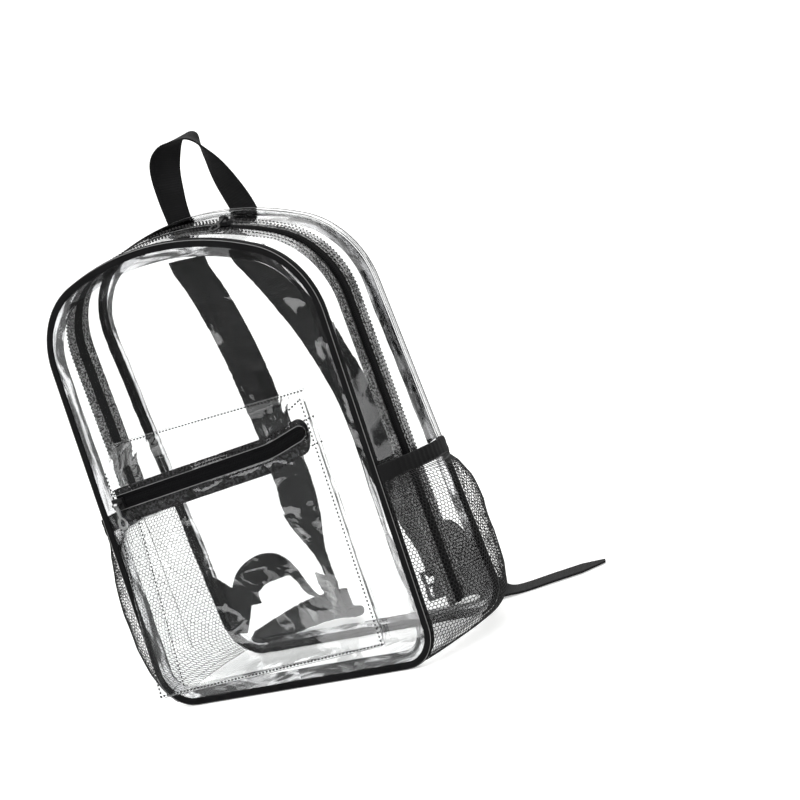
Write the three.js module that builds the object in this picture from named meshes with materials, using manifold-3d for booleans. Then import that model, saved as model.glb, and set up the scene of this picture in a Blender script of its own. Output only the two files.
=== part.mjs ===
// Clear stadium backpack, in millimetres: +X to the wearer's right hand as seen from the front,
// +Y towards the shoulder straps, +Z up. The origin is the middle of the base's underside.
import * as THREE from "three";
import { mergeVertices } from "three/addons/utils/BufferGeometryUtils.js";
import Module from "manifold-3d";

const wasm = await Module();
wasm.setup();

// Main compartment
const bodyWidth = 280;
const bodyHeight = 380;
const baseDepth = 115;
const topDepth = 78;
const baseCornerRadius = 32;
const topCornerRadius = 70;
const crownRadius = 260;
const sheetWall = 1.2;
const seamGap = 0.3;

// Black edge binding
const bindingLeg = 6;
const bindingWall = 1.2;
const bindingRound = 0.9;

// Main zip
const zipSlot = 13;
const zipTapeWidth = 31;
const zipTapeWall = 0.8;
const zipChainWidth = 5.6;
const zipChainHeight = 1.7;
const mainSliderX = 47;
const mainPullDroop = 0.24;

// Front pocket
const pocketRight = 97;
const pocketWidth = 200;
const pocketSeamFlare = 15;
const pocketFaceInset = 3;
const pocketFaceFlare = 20;
const pocketDepthLeft = 23;
const pocketDepthRight = 7;
const pocketBottomLeft = 17;
const pocketBottomRight = 24;
const pocketFoldLeft = 212;
const pocketFoldRight = 236;
const pocketTopLeft = 228;
const pocketTopRight = 241;
const pocketZipLeft = 184;
const pocketZipRight = 203;
const pocketZipSlot = 15;
const pocketTapeWidth = 34;
const pocketTapeMargin = 3.2;
const pocketSliderInset = 7;

// Zip slider and its pull
const sliderLength = 10;
const sliderWidth = 8.6;
const sliderHeight = 3.2;
const hingeBarRadius = 0.7;
const hingeBarLength = 6.4;
const hingePostWidth = 1.3;
const hingeLift = 2.6;
const hingeClearance = 0.35;
const pullBarrelWall = 0.8;
const pullBarrelLength = 3.2;
const pullLength = 21;
const pullWidth = 8.4;
const pullWall = 1.3;
const pullRingWall = 1.7;
const pullNeckWidth = 3;

// Side pockets of net with an elastic hem
const hemFront = 168;
const hemRear = 156;
const hemHeight = 14;
const hemWall = 1.6;
const hemBulge = 7;
const netBulge = 38;
const netWall = 1.1;
const netFoot = 5;
const netClearance = 0.8;

// Grab handle
const webbingWidth = 25;
const webbingWall = 1.5;
const handleRise = 71;
const handleSpan = 66;
const handleShift = 6;
const handleAnchor = 16;
const handleTwistStart = 0.12;

// Shoulder straps, their buckles and the lower webbing
const strapWidth = 37;
const strapWall = 2;
const strapDrop = 34;
const strapTopX = 34;
const rightStrapShift = 6;
const strapBow = 34;
const strapEndLength = 14;
const strapTwistTop = 112;
const buckleX = 50;
const rightBuckleShift = 14;
const buckleY = 89;
const buckleZ = 24;
const buckleTurn = 0.66;
const buckleBar = 3.4;
const buckleSlot = 8;
const buckleSideGap = 2;
const buckleCorner = 3;
const anchorFoot = 18;
const anchorHeight = 58;
const anchorReach = 37;
const anchorWall = 1.6;
const archRise = 17;
const webbingSeat = 0.7;

// Free ends of the lower webbing, from the buckle's slot: place, and direction of the width
const leftTail = [
  { x: 2, y: 18, z: 13.4, ax: -0.3, ay: 0.3, az: 0.9 },
  { x: -14, y: 22, z: 13.2, ax: 0, ay: 0, az: 1 },
  { x: -36, y: 14, z: 12.6, ax: 0, ay: -0.3, az: 0.95 },
  { x: -54, y: -1, z: 11, ax: 0, ay: -0.6, az: 0.8 },
  { x: -70, y: -13, z: 9, ax: 0, ay: -0.8, az: 0.6 },
  { x: -80, y: -20, z: 8, ax: 0, ay: -0.85, az: 0.5 },
];
const rightTail = [
  { x: -2, y: 18, z: 13.4, ax: 0.3, ay: 0.3, az: 0.9 },
  { x: 12, y: 20, z: 13.2, ax: 0, ay: 0, az: 1 },
  { x: 26, y: 12, z: 9.5, ax: -0.3, ay: 0.5, az: 0.8 },
  { x: 40, y: 9, z: 4.6, ax: -0.45, ay: 0.85, az: 0.3 },
  { x: 56, y: 13, z: 1.3, ax: -0.5, ay: 0.87, az: 0 },
  { x: 88, y: 29, z: 1.3, ax: -0.5, ay: 0.87, az: 0 },
  { x: 124, y: 49, z: 1.3, ax: -0.5, ay: 0.87, az: 0 },
];

const clearVinyl = new THREE.MeshStandardMaterial({
  color: 0xf4f6f6, roughness: 0.08, metalness: 0, transparent: true, opacity: 0.3,
});
const blackBinding = new THREE.MeshStandardMaterial({ color: 0x111112, roughness: 0.6, metalness: 0 });
const blackWebbing = new THREE.MeshStandardMaterial({ color: 0x151516, roughness: 0.85, metalness: 0 });
const blackTape = new THREE.MeshStandardMaterial({ color: 0x19191a, roughness: 0.8, metalness: 0 });
const blackNet = new THREE.MeshStandardMaterial({ color: 0x1c1c1e, roughness: 0.8, metalness: 0 });
const blackPlastic = new THREE.MeshStandardMaterial({ color: 0x131314, roughness: 0.45, metalness: 0 });
const silverMetal = new THREE.MeshStandardMaterial({ color: 0xb9bbbd, roughness: 0.3, metalness: 1 });

const model = new THREE.Group();

const lerp = THREE.MathUtils.lerp;
const vec = (x, y, z) => new THREE.Vector3(x, y, z);

/** Value of one column of a table at a share between its rows. */
function readTable(rows, key, column, share) {
  const next = rows.findIndex((row) => row[key] >= share);
  if (next <= 0) return rows[next === 0 ? 0 : rows.length - 1][column];
  const low = rows[next - 1];
  const high = rows[next];
  return lerp(low[column], high[column], (share - low[key]) / (high[key] - low[key]));
}

/** Numbers from first to last in equal steps, both ends included. */
function spread(first, last, steps) {
  return Array.from({ length: steps + 1 }, (_, i) => lerp(first, last, i / steps));
}

/** Closed body from a list of triangles, turned so that its faces point out. */
function closedBody(points, faces) {
  let volume = 0;
  for (const [a, b, c] of faces) {
    volume += points[a].dot(points[b].clone().cross(points[c]));
  }
  const outward = volume > 0 ? faces : faces.map(([a, b, c]) => [a, c, b]);
  const geometry = new THREE.BufferGeometry();
  geometry.setAttribute("position", new THREE.Float32BufferAttribute(points.flatMap((p) => p.toArray()), 3));
  geometry.setIndex(outward.flat());
  return geometry;
}

/** Wall between an outer and an inner skin. Each row holds as many outer points as inner ones. */
function wallBody(rows, closed = false) {
  const columns = rows[0].outer.length;
  const points = rows.flatMap((row) => [...row.outer, ...row.inner]);
  const outer = (row, column) => (row % rows.length) * 2 * columns + column;
  const inner = (row, column) => outer(row, column) + columns;
  const faces = [];
  const quad = (a, b, c, d) => faces.push([a, b, c], [a, c, d]);
  const last = columns - 1;
  for (let r = 0; r < rows.length - (closed ? 0 : 1); r += 1) {
    for (let c = 0; c < last; c += 1) {
      quad(outer(r, c), outer(r, c + 1), outer(r + 1, c + 1), outer(r + 1, c));
      quad(inner(r, c), inner(r + 1, c), inner(r + 1, c + 1), inner(r, c + 1));
    }
    quad(outer(r, 0), outer(r + 1, 0), inner(r + 1, 0), inner(r, 0));
    quad(outer(r, last), inner(r, last), inner(r + 1, last), outer(r + 1, last));
  }
  if (!closed) {
    const end = rows.length - 1;
    for (let c = 0; c < last; c += 1) {
      quad(outer(0, c), inner(0, c), inner(0, c + 1), outer(0, c + 1));
      quad(outer(end, c), outer(end, c + 1), inner(end, c + 1), inner(end, c));
    }
  }
  return closedBody(points, faces);
}

/** Plate of an outline, closed between its front and its rear points. */
function plateBody(outline, front, rear) {
  const drawn = outline.map((p) => new THREE.Vector2(p.x, p.z));
  const loop = THREE.ShapeUtils.isClockWise(drawn) ? outline.slice().reverse() : outline;
  const flat = loop.map((p) => new THREE.Vector2(p.x, p.z));
  const points = [...loop.map(front), ...loop.map(rear)];
  const count = loop.length;
  const faces = [];
  for (const [a, b, c] of THREE.ShapeUtils.triangulateShape(flat, [])) {
    faces.push([a, b, c], [a + count, c + count, b + count]);
  }
  for (let i = 0; i < count; i += 1) {
    const next = (i + 1) % count;
    faces.push([i, i + count, next + count], [i, next + count, next]);
  }
  return closedBody(points, faces);
}

/** Flat band along a path; across is the direction of its width at each point. */
function ribbonBody(path, across, widths, wall) {
  const rows = path.map((point, i) => {
    const before = path[Math.max(i - 1, 0)];
    const after = path[Math.min(i + 1, path.length - 1)];
    const along = after.clone().sub(before).normalize();
    const side = across[i].clone();
    side.addScaledVector(along, -side.dot(along)).normalize();
    const face = along.clone().cross(side).multiplyScalar(wall / 2);
    const half = side.multiplyScalar(widths[i] / 2);
    const left = point.clone().sub(half);
    const right = point.clone().add(half);
    return {
      outer: [left.clone().add(face), right.clone().add(face)],
      inner: [left.sub(face), right.sub(face)],
    };
  });
  return wallBody(rows);
}

/** Solid for cutting and joining from a closed three.js geometry. */
function solid(geometry) {
  const bare = geometry.clone();
  bare.deleteAttribute("normal");
  bare.deleteAttribute("uv");
  const merged = mergeVertices(bare, 1e-4);
  return new wasm.Manifold(new wasm.Mesh({
    numProp: 3,
    vertProperties: new Float32Array(merged.attributes.position.array),
    triVerts: new Uint32Array(merged.index.array),
  }));
}

/** three.js geometry of a cut or joined solid. */
function geometryOf(manifold) {
  const mesh = manifold.getMesh();
  const geometry = new THREE.BufferGeometry();
  geometry.setAttribute("position", new THREE.BufferAttribute(new Float32Array(mesh.vertProperties), 3));
  geometry.setIndex(new THREE.BufferAttribute(new Uint32Array(mesh.triVerts), 1));
  return geometry;
}

function add(name, geometry, material) {
  const mesh = new THREE.Mesh(geometry, material);
  mesh.name = name;
  model.add(mesh);
  return mesh;
}

// Outline of the front and back panels
const halfWidth = bodyWidth / 2;
const topCentreX = halfWidth - topCornerRadius;
const crownReach = crownRadius - topCornerRadius;
const topCentreZ = bodyHeight - crownRadius + Math.sqrt(crownReach ** 2 - topCentreX ** 2);
const crownAngle = Math.asin(topCentreX / crownReach);

/** Right half of the rim from the middle of the base to the middle of the crown, as stations. */
function rightRim() {
  const stations = [];
  const arc = (centre, radius, from, to, steps, run) => {
    for (const angle of spread(from, to, steps)) stations.push({ centre, radius, angle, run });
  };
  const baseCentre = { x: halfWidth - baseCornerRadius, z: baseCornerRadius };
  const down = -Math.PI / 2;
  stations.push({ centre: { x: 0, z: baseCornerRadius }, radius: baseCornerRadius, angle: down, run: "base" });
  arc(baseCentre, baseCornerRadius, down, 0, 5, "base");
  for (const share of spread(0, 1, 4).slice(1, -1)) {
    const z = lerp(baseCornerRadius, topCentreZ, share);
    stations.push({ centre: { x: topCentreX, z }, radius: topCornerRadius, angle: 0, run: "side" });
  }
  const topCentre = { x: topCentreX, z: topCentreZ };
  arc(topCentre, topCornerRadius, 0, Math.PI / 2 - crownAngle, 7, "side");
  const crownCentre = { x: 0, z: bodyHeight - crownRadius };
  for (const angle of spread(Math.PI / 2 - crownAngle, Math.PI / 2, 3).slice(1)) {
    stations.push({ centre: crownCentre, radius: crownRadius, angle, run: "side" });
  }
  return stations;
}

/** The left half mirrors the right one; the loop runs round the whole rim. */
function rimLoop() {
  const right = rightRim();
  const left = right.slice(1, -1).reverse().map((station) => ({
    ...station, centre: { x: -station.centre.x, z: station.centre.z }, angle: Math.PI - station.angle,
  }));
  return [...right, ...left];
}

const rim = rimLoop();
const baseStations = rightRim().filter((station) => station.run === "base").length;

/** Point of the rim, inset from the outer edge of the binding. */
function rimPoint(station, inset) {
  const reach = station.radius - inset;
  return {
    x: station.centre.x + reach * Math.cos(station.angle),
    z: station.centre.z + reach * Math.sin(station.angle),
  };
}

/** Half the bag's depth over the binding at a height. */
const halfDepth = (z) => lerp(baseDepth, topDepth, z / bodyHeight) / 2;

/** Half the bag's width over the binding at a height of the straight or lower part. */
function halfWidthAt(z) {
  const rise = Math.max(baseCornerRadius - z, 0);
  return halfWidth - baseCornerRadius + Math.sqrt(baseCornerRadius ** 2 - rise ** 2);
}

/** Point that is inset from the rim and sunk from the panel's plane; side is -1 in front, 1 behind. */
function edgePoint(station, inset, sunk, side) {
  const { x, z } = rimPoint(station, inset);
  return vec(x, side * (halfDepth(z) - sunk), z);
}

const panelInset = bindingWall + seamGap;
const gussetInset = panelInset;
const gussetSunk = panelInset + sheetWall + seamGap;
const panelFront = (z) => -(halfDepth(z) - panelInset);
const panelRear = (z) => halfDepth(z) - panelInset;

function makePanels() {
  const outline = rim.map((station) => rimPoint(station, panelInset));
  for (const [name, side] of [["front_panel", -1], ["back_panel", 1]]) {
    const outer = (p) => vec(p.x, side * (halfDepth(p.z) - panelInset), p.z);
    const inner = (p) => vec(p.x, side * (halfDepth(p.z) - panelInset - sheetWall), p.z);
    add(name, plateBody(outline, outer, inner), clearVinyl);
  }
}

function makeBindings() {
  const outer = [
    [bindingLeg, 0], [bindingRound, 0], [bindingRound * 0.3, bindingRound * 0.3],
    [0, bindingRound], [0, bindingLeg],
  ];
  const inner = [
    [bindingLeg, bindingWall], [bindingWall + bindingRound, bindingWall], [bindingWall, bindingWall],
    [bindingWall, bindingWall + bindingRound], [bindingWall, bindingLeg],
  ];
  for (const [name, side] of [["front_binding", -1], ["rear_binding", 1]]) {
    const rows = rim.map((station) => ({
      outer: outer.map(([inset, sunk]) => edgePoint(station, inset, sunk, side)),
      inner: inner.map(([inset, sunk]) => edgePoint(station, inset, sunk, side)),
    }));
    add(name, wallBody(rows, true), blackBinding);
  }
}

/** Stations over the top, from the right end of the zip to the left one. */
const zipStations = rim.slice(baseStations - 1, rim.length - baseStations + 2);

/** Stations round the base, from the left end of the zip to the right one. */
const lowerStations = [...rim.slice(rim.length - baseStations + 1), ...rim.slice(0, baseStations)];

function makeGussetBands() {
  for (const [name, side] of [["gusset_front_band", -1], ["gusset_rear_band", 1]]) {
    const rows = zipStations.map((station) => {
      const edges = (inset) => {
        const { x, z } = rimPoint(station, inset);
        return [vec(x, side * (halfDepth(z) - gussetSunk), z), vec(x, side * zipSlot / 2, z)];
      };
      return { outer: edges(gussetInset), inner: edges(gussetInset + sheetWall) };
    });
    add(name, wallBody(rows), clearVinyl);
  }
}

/** The base hangs down between the bindings, so that it meets the ground. */
function makeBasePanel() {
  const sagTable = [
    { across: 0, sag: 0 }, { across: 0.16, sag: 1 }, { across: 0.84, sag: 1 }, { across: 1, sag: 0 },
  ];
  const ends = seamGap / baseCornerRadius;
  const rows = lowerStations.map((station, i) => {
    const isEnd = i === 0 || i === lowerStations.length - 1;
    const turn = isEnd ? ends * (i === 0 ? 1 : -1) : 0;
    const turned = { ...station, angle: station.angle + turn };
    const level = Math.max(-Math.sin(station.angle), 0);
    const points = (inset) => sagTable.map(({ across, sag }) => {
      const drop = sag * level * gussetInset;
      const { x, z } = rimPoint(turned, inset - drop);
      const reach = halfDepth(z) - gussetSunk;
      return vec(x, lerp(-reach, reach, across), z);
    });
    return { outer: points(gussetInset), inner: points(gussetInset + sheetWall) };
  });
  add("base_panel", wallBody(rows), clearVinyl);
}

/** Band along the zip, inset from the rim and centred on the middle of the bag's depth. */
function zipBand(width, inset, wall) {
  const rows = zipStations.map((station) => {
    const edges = (depth) => {
      const { x, z } = rimPoint(station, depth);
      return [vec(x, -width / 2, z), vec(x, width / 2, z)];
    };
    return { outer: edges(inset), inner: edges(inset + wall) };
  });
  return wallBody(rows);
}

function makeMainZip() {
  const tapeInset = gussetInset + sheetWall + seamGap;
  add("main_zip_tape", zipBand(zipTapeWidth, tapeInset, zipTapeWall), blackTape);
  const chainInset = tapeInset - seamGap - zipChainHeight;
  add("main_zip_chain", zipBand(zipChainWidth, chainInset, zipChainHeight), blackPlastic);
  return chainInset;
}

// Front pocket. across runs from its left to its right side, rise from its bottom to its fold.
const flareTable = [
  { rise: 0, flare: 1 }, { rise: 0.2, flare: 0.86 }, { rise: 0.45, flare: 0.62 },
  { rise: 0.84, flare: 0 }, { rise: 1, flare: 0 },
];
const pocketLeft = pocketRight - pocketWidth;
const pocketBottom = (across) => lerp(pocketBottomLeft, pocketBottomRight, across);
const pocketFold = (across) => lerp(pocketFoldLeft, pocketFoldRight, across);
const pocketDepth = (across) => lerp(pocketDepthLeft, pocketDepthRight, across);
const pocketZip = (across) => lerp(pocketZipLeft, pocketZipRight, across);

/** Side of the pocket where it is sewn to the panel. */
function pocketSeamX(across, rise) {
  return lerp(pocketLeft - pocketSeamFlare * (1 - rise), pocketRight, across);
}

/** Side of the pocket's face. */
function pocketFaceX(across, rise) {
  const flare = pocketFaceFlare * readTable(flareTable, "rise", "flare", rise);
  return lerp(pocketLeft - pocketFaceInset - flare, pocketRight, across);
}

const pocketRise = (across, z) => (z - pocketBottom(across)) / (pocketFold(across) - pocketBottom(across));
const pocketFaceY = (across, z) => panelFront(z) - pocketDepth(across);

/** Point of the pocket's face at a height; behind is the distance back from its outer skin. */
function facePoint(across, z, behind) {
  return vec(pocketFaceX(across, pocketRise(across, z)), pocketFaceY(across, z) + behind, z);
}

const pocketColumns = spread(0, 1, 6);

function makePocketFace() {
  const top = (across) => pocketZip(across) - pocketZipSlot / 2;
  const rows = spread(0, 1, 6).map((share) => {
    const skin = (behind) => pocketColumns.map((across) => (
      facePoint(across, lerp(pocketBottom(across), top(across), share), behind)
    ));
    return { outer: skin(0), inner: skin(sheetWall) };
  });
  add("pocket_face", wallBody(rows), clearVinyl);
}

/** Upper sheet: sewn to the panel, folded forward and running down to the zip. */
function makePocketTop() {
  const low = (across) => pocketZip(across) + pocketZipSlot / 2;
  const seamZ = (across) => lerp(pocketTopLeft, pocketTopRight, across);
  const row = (outer, inner) => ({ outer: pocketColumns.map(outer), inner: pocketColumns.map(inner) });
  const rows = [
    row((a) => facePoint(a, low(a), 0), (a) => facePoint(a, low(a), sheetWall)),
    row((a) => facePoint(a, pocketFold(a), 0), (a) => facePoint(a, pocketFold(a) - sheetWall, sheetWall)),
    row(
      (a) => vec(pocketSeamX(a, 1), panelFront(seamZ(a)) - seamGap, seamZ(a)),
      (a) => vec(pocketSeamX(a, 1), panelFront(seamZ(a) - sheetWall) - seamGap, seamZ(a) - sheetWall),
    ),
  ];
  add("pocket_top", wallBody(rows), clearVinyl);
}

/** Side and base strip between the panel and the pocket's face. */
function makePocketGusset() {
  const stops = [
    ...spread(0.96, 0.02, 6).map((rise) => ({ across: 0, rise })),
    ...spread(0.02, 0.98, 6).map((across) => ({ across, rise: 0 })),
    ...spread(0.02, 0.96, 5).map((rise) => ({ across: 1, rise })),
  ];
  const centre = { x: (pocketLeft + pocketRight) / 2, z: (pocketBottomRight + pocketFoldLeft) / 2 };
  const rows = stops.map(({ across, rise }) => {
    const z = lerp(pocketBottom(across), pocketFold(across), rise);
    const seam = { x: pocketSeamX(across, rise), z };
    const face = { x: pocketFaceX(across, rise), z };
    const onBase = rise === 0;
    const inward = (p) => (onBase
      ? { x: p.x, z: p.z + sheetWall }
      : { x: p.x + sheetWall * Math.sign(centre.x - p.x), z: p.z });
    const back = (p) => vec(p.x, panelFront(p.z) - seamGap, p.z);
    const front = (p) => vec(p.x, pocketFaceY(across, p.z) + sheetWall + seamGap, p.z);
    return { outer: [back(seam), front(face)], inner: [back(inward(seam)), front(inward(face))] };
  });
  add("pocket_gusset", wallBody(rows), clearVinyl);
}

function pocketBand(width, behind, wall, from, to) {
  const rows = spread(from, to, 8).map((across) => {
    const edges = (depth) => [-width / 2, width / 2].map((rise) => (
      facePoint(across, pocketZip(across) + rise, depth)
    ));
    return { outer: edges(behind), inner: edges(behind + wall) };
  });
  return wallBody(rows);
}

function makePocketZip() {
  const tapeBehind = sheetWall + seamGap;
  const margin = pocketTapeMargin / pocketWidth;
  add("pocket_zip_tape", pocketBand(pocketTapeWidth, tapeBehind, zipTapeWall, margin, 1 - margin), blackTape);
  const chainBehind = tapeBehind - seamGap - zipChainHeight;
  add("pocket_zip_chain", pocketBand(zipChainWidth, chainBehind, zipChainHeight, margin, 1 - margin), blackPlastic);
  return chainBehind;
}

// Slider and pull share one hinge. Locally the zip runs along X, the slider's back looks to -Y,
// and the pull hangs down along -Z from the hinge's axis at the origin.

function sliderGeometry() {
  const bodyShape = new THREE.BoxGeometry(sliderLength, sliderHeight, sliderWidth);
  bodyShape.translate(0, hingeLift + sliderHeight / 2, 0);
  let slider = solid(bodyShape);
  for (const side of [-1, 1]) {
    const post = new THREE.BoxGeometry(hingePostWidth, hingeLift + hingeBarRadius * 2, hingeBarRadius * 3);
    post.translate(side * hingeBarLength / 2, (hingeLift) / 2, 0);
    slider = slider.add(solid(post));
  }
  const bar = new THREE.CylinderGeometry(hingeBarRadius, hingeBarRadius, hingeBarLength, 10);
  bar.rotateZ(Math.PI / 2);
  return geometryOf(slider.add(solid(bar)));
}

function pullGeometry() {
  const bore = hingeBarRadius + hingeClearance;
  const barrelRadius = bore + pullBarrelWall;
  const tube = (radius, length) => {
    const shape = new THREE.CylinderGeometry(radius, radius, length, 14);
    shape.rotateZ(Math.PI / 2);
    return solid(shape);
  };
  const ring = new THREE.Shape();
  const ringHeight = pullLength * 0.52;
  const ringCentre = -(pullLength - ringHeight / 2);
  ring.absellipse(0, ringCentre, pullWidth / 2, ringHeight / 2, 0, Math.PI * 2);
  const hole = new THREE.Path();
  hole.absellipse(0, ringCentre, pullWidth / 2 - pullRingWall, ringHeight / 2 - pullRingWall, 0, Math.PI * 2);
  ring.holes.push(hole);
  const ringShape = new THREE.ExtrudeGeometry(ring, { depth: pullWall, bevelEnabled: false, curveSegments: 16 });
  ringShape.translate(0, 0, -pullWall / 2);
  ringShape.rotateX(Math.PI / 2);
  const neckLength = pullLength - ringHeight + pullRingWall / 2;
  const neck = new THREE.BoxGeometry(pullNeckWidth, pullWall, neckLength);
  neck.translate(0, 0, -neckLength / 2);
  const pull = solid(ringShape).add(solid(neck)).add(tube(barrelRadius, pullBarrelLength));
  return geometryOf(pull.subtract(tube(bore, pullBarrelLength * 2)));
}

/**
 * Slider and pull at a place of a zip, turned about X from upright, then about Y and about Z.
 * The pull droops a little further than its slider is turned.
 */
function placeSlider(prefix, place, turn, lean, yaw, droop) {
  const slider = add(`${prefix}_slider`, sliderGeometry(), blackPlastic);
  const pull = add(`${prefix}_pull`, pullGeometry(), silverMetal);
  slider.position.copy(place);
  slider.rotation.set(turn, lean, yaw, "ZYX");
  pull.position.copy(place);
  pull.rotation.set(turn + droop, lean, yaw, "ZYX");
}

function makeSliders(mainChainInset, pocketChainBehind) {
  const across = pocketSliderInset / pocketWidth;
  const z = pocketZip(across);
  const seat = hingeLift + sliderHeight + seamGap;
  const pocketPlace = facePoint(across, z, pocketChainBehind - seat);
  const yaw = Math.atan2(pocketDepthLeft - pocketDepthRight, pocketWidth);
  placeSlider("pocket", pocketPlace, 0, 0, yaw, 0);
  const reach = crownRadius - mainChainInset + seat;
  const lean = Math.asin(mainSliderX / reach);
  const hingeZ = bodyHeight - crownRadius + reach * Math.cos(lean);
  placeSlider("main", vec(mainSliderX, 0, hingeZ), -Math.PI / 2, lean, 0, mainPullDroop);
}

// Net side pockets
const netTable = [
  { height: 0, bulge: 0.16 }, { height: 0.05, bulge: 0.48 }, { height: 0.14, bulge: 0.76 },
  { height: 0.3, bulge: 0.95 }, { height: 0.5, bulge: 1 }, { height: 0.7, bulge: 0.87 },
  { height: 0.85, bulge: 0.63 }, { height: 0.94, bulge: 0.38 }, { height: 1, bulge: 0.2 },
];
const netColumns = spread(0, 1, 10);

/** How far a side pocket stands off between its front and rear edges. */
const bellyShare = (across) => 1 - Math.abs(2 * across - 1) ** 2.6;

const hemTop = (across) => lerp(hemFront, hemRear, across);

function sidePoint(side, across, z, bulge, off) {
  const reach = halfDepth(z) - bindingRound;
  const x = halfWidthAt(z) + netClearance + off + bulge * bellyShare(across);
  return vec(side * x, lerp(-reach, reach, across), z);
}

function makeSidePockets() {
  for (const [label, side] of [["left", -1], ["right", 1]]) {
    const netRows = netTable.map(({ height, bulge }) => {
      const skin = (off) => netColumns.map((across) => {
        const top = hemTop(across) - hemHeight - seamGap;
        return sidePoint(side, across, lerp(netFoot, top, height), netBulge * bulge, off);
      });
      return { outer: skin(netWall), inner: skin(0) };
    });
    add(`net_pocket_${label}`, wallBody(netRows), blackNet);
    const hemRows = [0, 0.5, 1].map((share) => {
      const skin = (off) => netColumns.map((across) => (
        sidePoint(side, across, hemTop(across) - hemHeight * (1 - share), hemBulge, off)
      ));
      return { outer: skin(hemWall), inner: skin(0) };
    });
    add(`net_hem_${label}`, wallBody(hemRows), blackWebbing);
  }
}

/** Smooth path through the rows of a table of places. */
function smoothPath(points, steps) {
  return new THREE.CatmullRomCurve3(points, false, "centripetal").getPoints(steps);
}

/** The loop rises from two feet that are sewn to the back panel, and turns half round on its way. */
function makeHandle() {
  const handleTable = [
    { across: -0.5, rise: -1 }, { across: -0.5, rise: 0 }, { across: -0.49, rise: 0.35 },
    { across: -0.4, rise: 0.75 }, { across: -0.16, rise: 0.97 }, { across: 0.1, rise: 0.98 },
    { across: 0.26, rise: 0.72 }, { across: 0.38, rise: 0.4 }, { across: 0.5, rise: 0 },
    { across: 0.5, rise: -1 },
  ];
  const footZ = bodyHeight - bindingLeg;
  const points = handleTable.map(({ across, rise }) => {
    const z = footZ + (rise < 0 ? rise * handleAnchor : rise * handleRise);
    const y = halfDepth(Math.min(z, bodyHeight)) + seamGap + webbingWall / 2;
    return vec(handleShift + across * handleSpan, y, z);
  });
  const path = smoothPath(points, 36);
  const sides = path.map((point, i) => {
    const share = i / (path.length - 1);
    const turn = Math.PI * THREE.MathUtils.smoothstep(share, handleTwistStart, 1 - handleTwistStart);
    return vec(Math.cos(turn), Math.sin(turn), 0);
  });
  add("top_handle", ribbonBody(path, sides, path.map(() => webbingWidth), webbingWall), blackWebbing);
}

// Straps of one side. side is -1 on the left and 1 on the right.
const barPitch = buckleBar + buckleSlot;
const buckleHeight = 3 * buckleBar + 2 * buckleSlot;
const buckleWidth = webbingWidth + 2 * (buckleSideGap + buckleBar);
const barReach = buckleBar * Math.SQRT1_2;

const buckleCentre = (side) => vec(side * (buckleX + (side > 0 ? rightBuckleShift : 0)), buckleY, buckleZ);

/** Place in the buckle's own directions: along its width, off its near face, and up from its middle. */
function bucklePoint(side, sideways, off, up) {
  const centre = buckleCentre(side);
  const width = vec(-side * Math.cos(buckleTurn), -Math.sin(buckleTurn), 0);
  const face = vec(-side * Math.sin(buckleTurn), Math.cos(buckleTurn), 0);
  return centre.addScaledVector(width, sideways).addScaledVector(face, off).add(vec(0, 0, up));
}

const buckleAcross = (side) => vec(-side * Math.cos(buckleTurn), -Math.sin(buckleTurn), 0);

/** Ladder lock: three bars between two cheeks. */
function makeBuckle(label, side) {
  const plate = new THREE.Shape();
  const halfPlate = buckleWidth / 2;
  const halfHigh = buckleHeight / 2;
  plate.moveTo(-halfPlate + buckleCorner, -halfHigh);
  plate.lineTo(halfPlate - buckleCorner, -halfHigh);
  plate.absarc(halfPlate - buckleCorner, -halfHigh + buckleCorner, buckleCorner, -Math.PI / 2, 0);
  plate.absarc(halfPlate - buckleCorner, halfHigh - buckleCorner, buckleCorner, 0, Math.PI / 2);
  plate.absarc(-halfPlate + buckleCorner, halfHigh - buckleCorner, buckleCorner, Math.PI / 2, Math.PI);
  plate.absarc(-halfPlate + buckleCorner, -halfHigh + buckleCorner, buckleCorner, Math.PI, Math.PI * 1.5);
  const halfSlot = halfPlate - buckleBar;
  for (const middle of [-barPitch / 2, barPitch / 2]) {
    const slot = new THREE.Path();
    slot.moveTo(-halfSlot, middle - buckleSlot / 2);
    slot.lineTo(-halfSlot, middle + buckleSlot / 2);
    slot.lineTo(halfSlot, middle + buckleSlot / 2);
    slot.lineTo(halfSlot, middle - buckleSlot / 2);
    slot.closePath();
    plate.holes.push(slot);
  }
  const geometry = new THREE.ExtrudeGeometry(plate, { depth: buckleBar, bevelEnabled: false, curveSegments: 4 });
  geometry.translate(0, 0, -buckleBar / 2);
  geometry.rotateX(Math.PI / 2);
  const mesh = add(`ladder_lock_${label}`, geometry, blackPlastic);
  mesh.position.copy(buckleCentre(side));
  mesh.rotation.z = side * buckleTurn;
}

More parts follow.
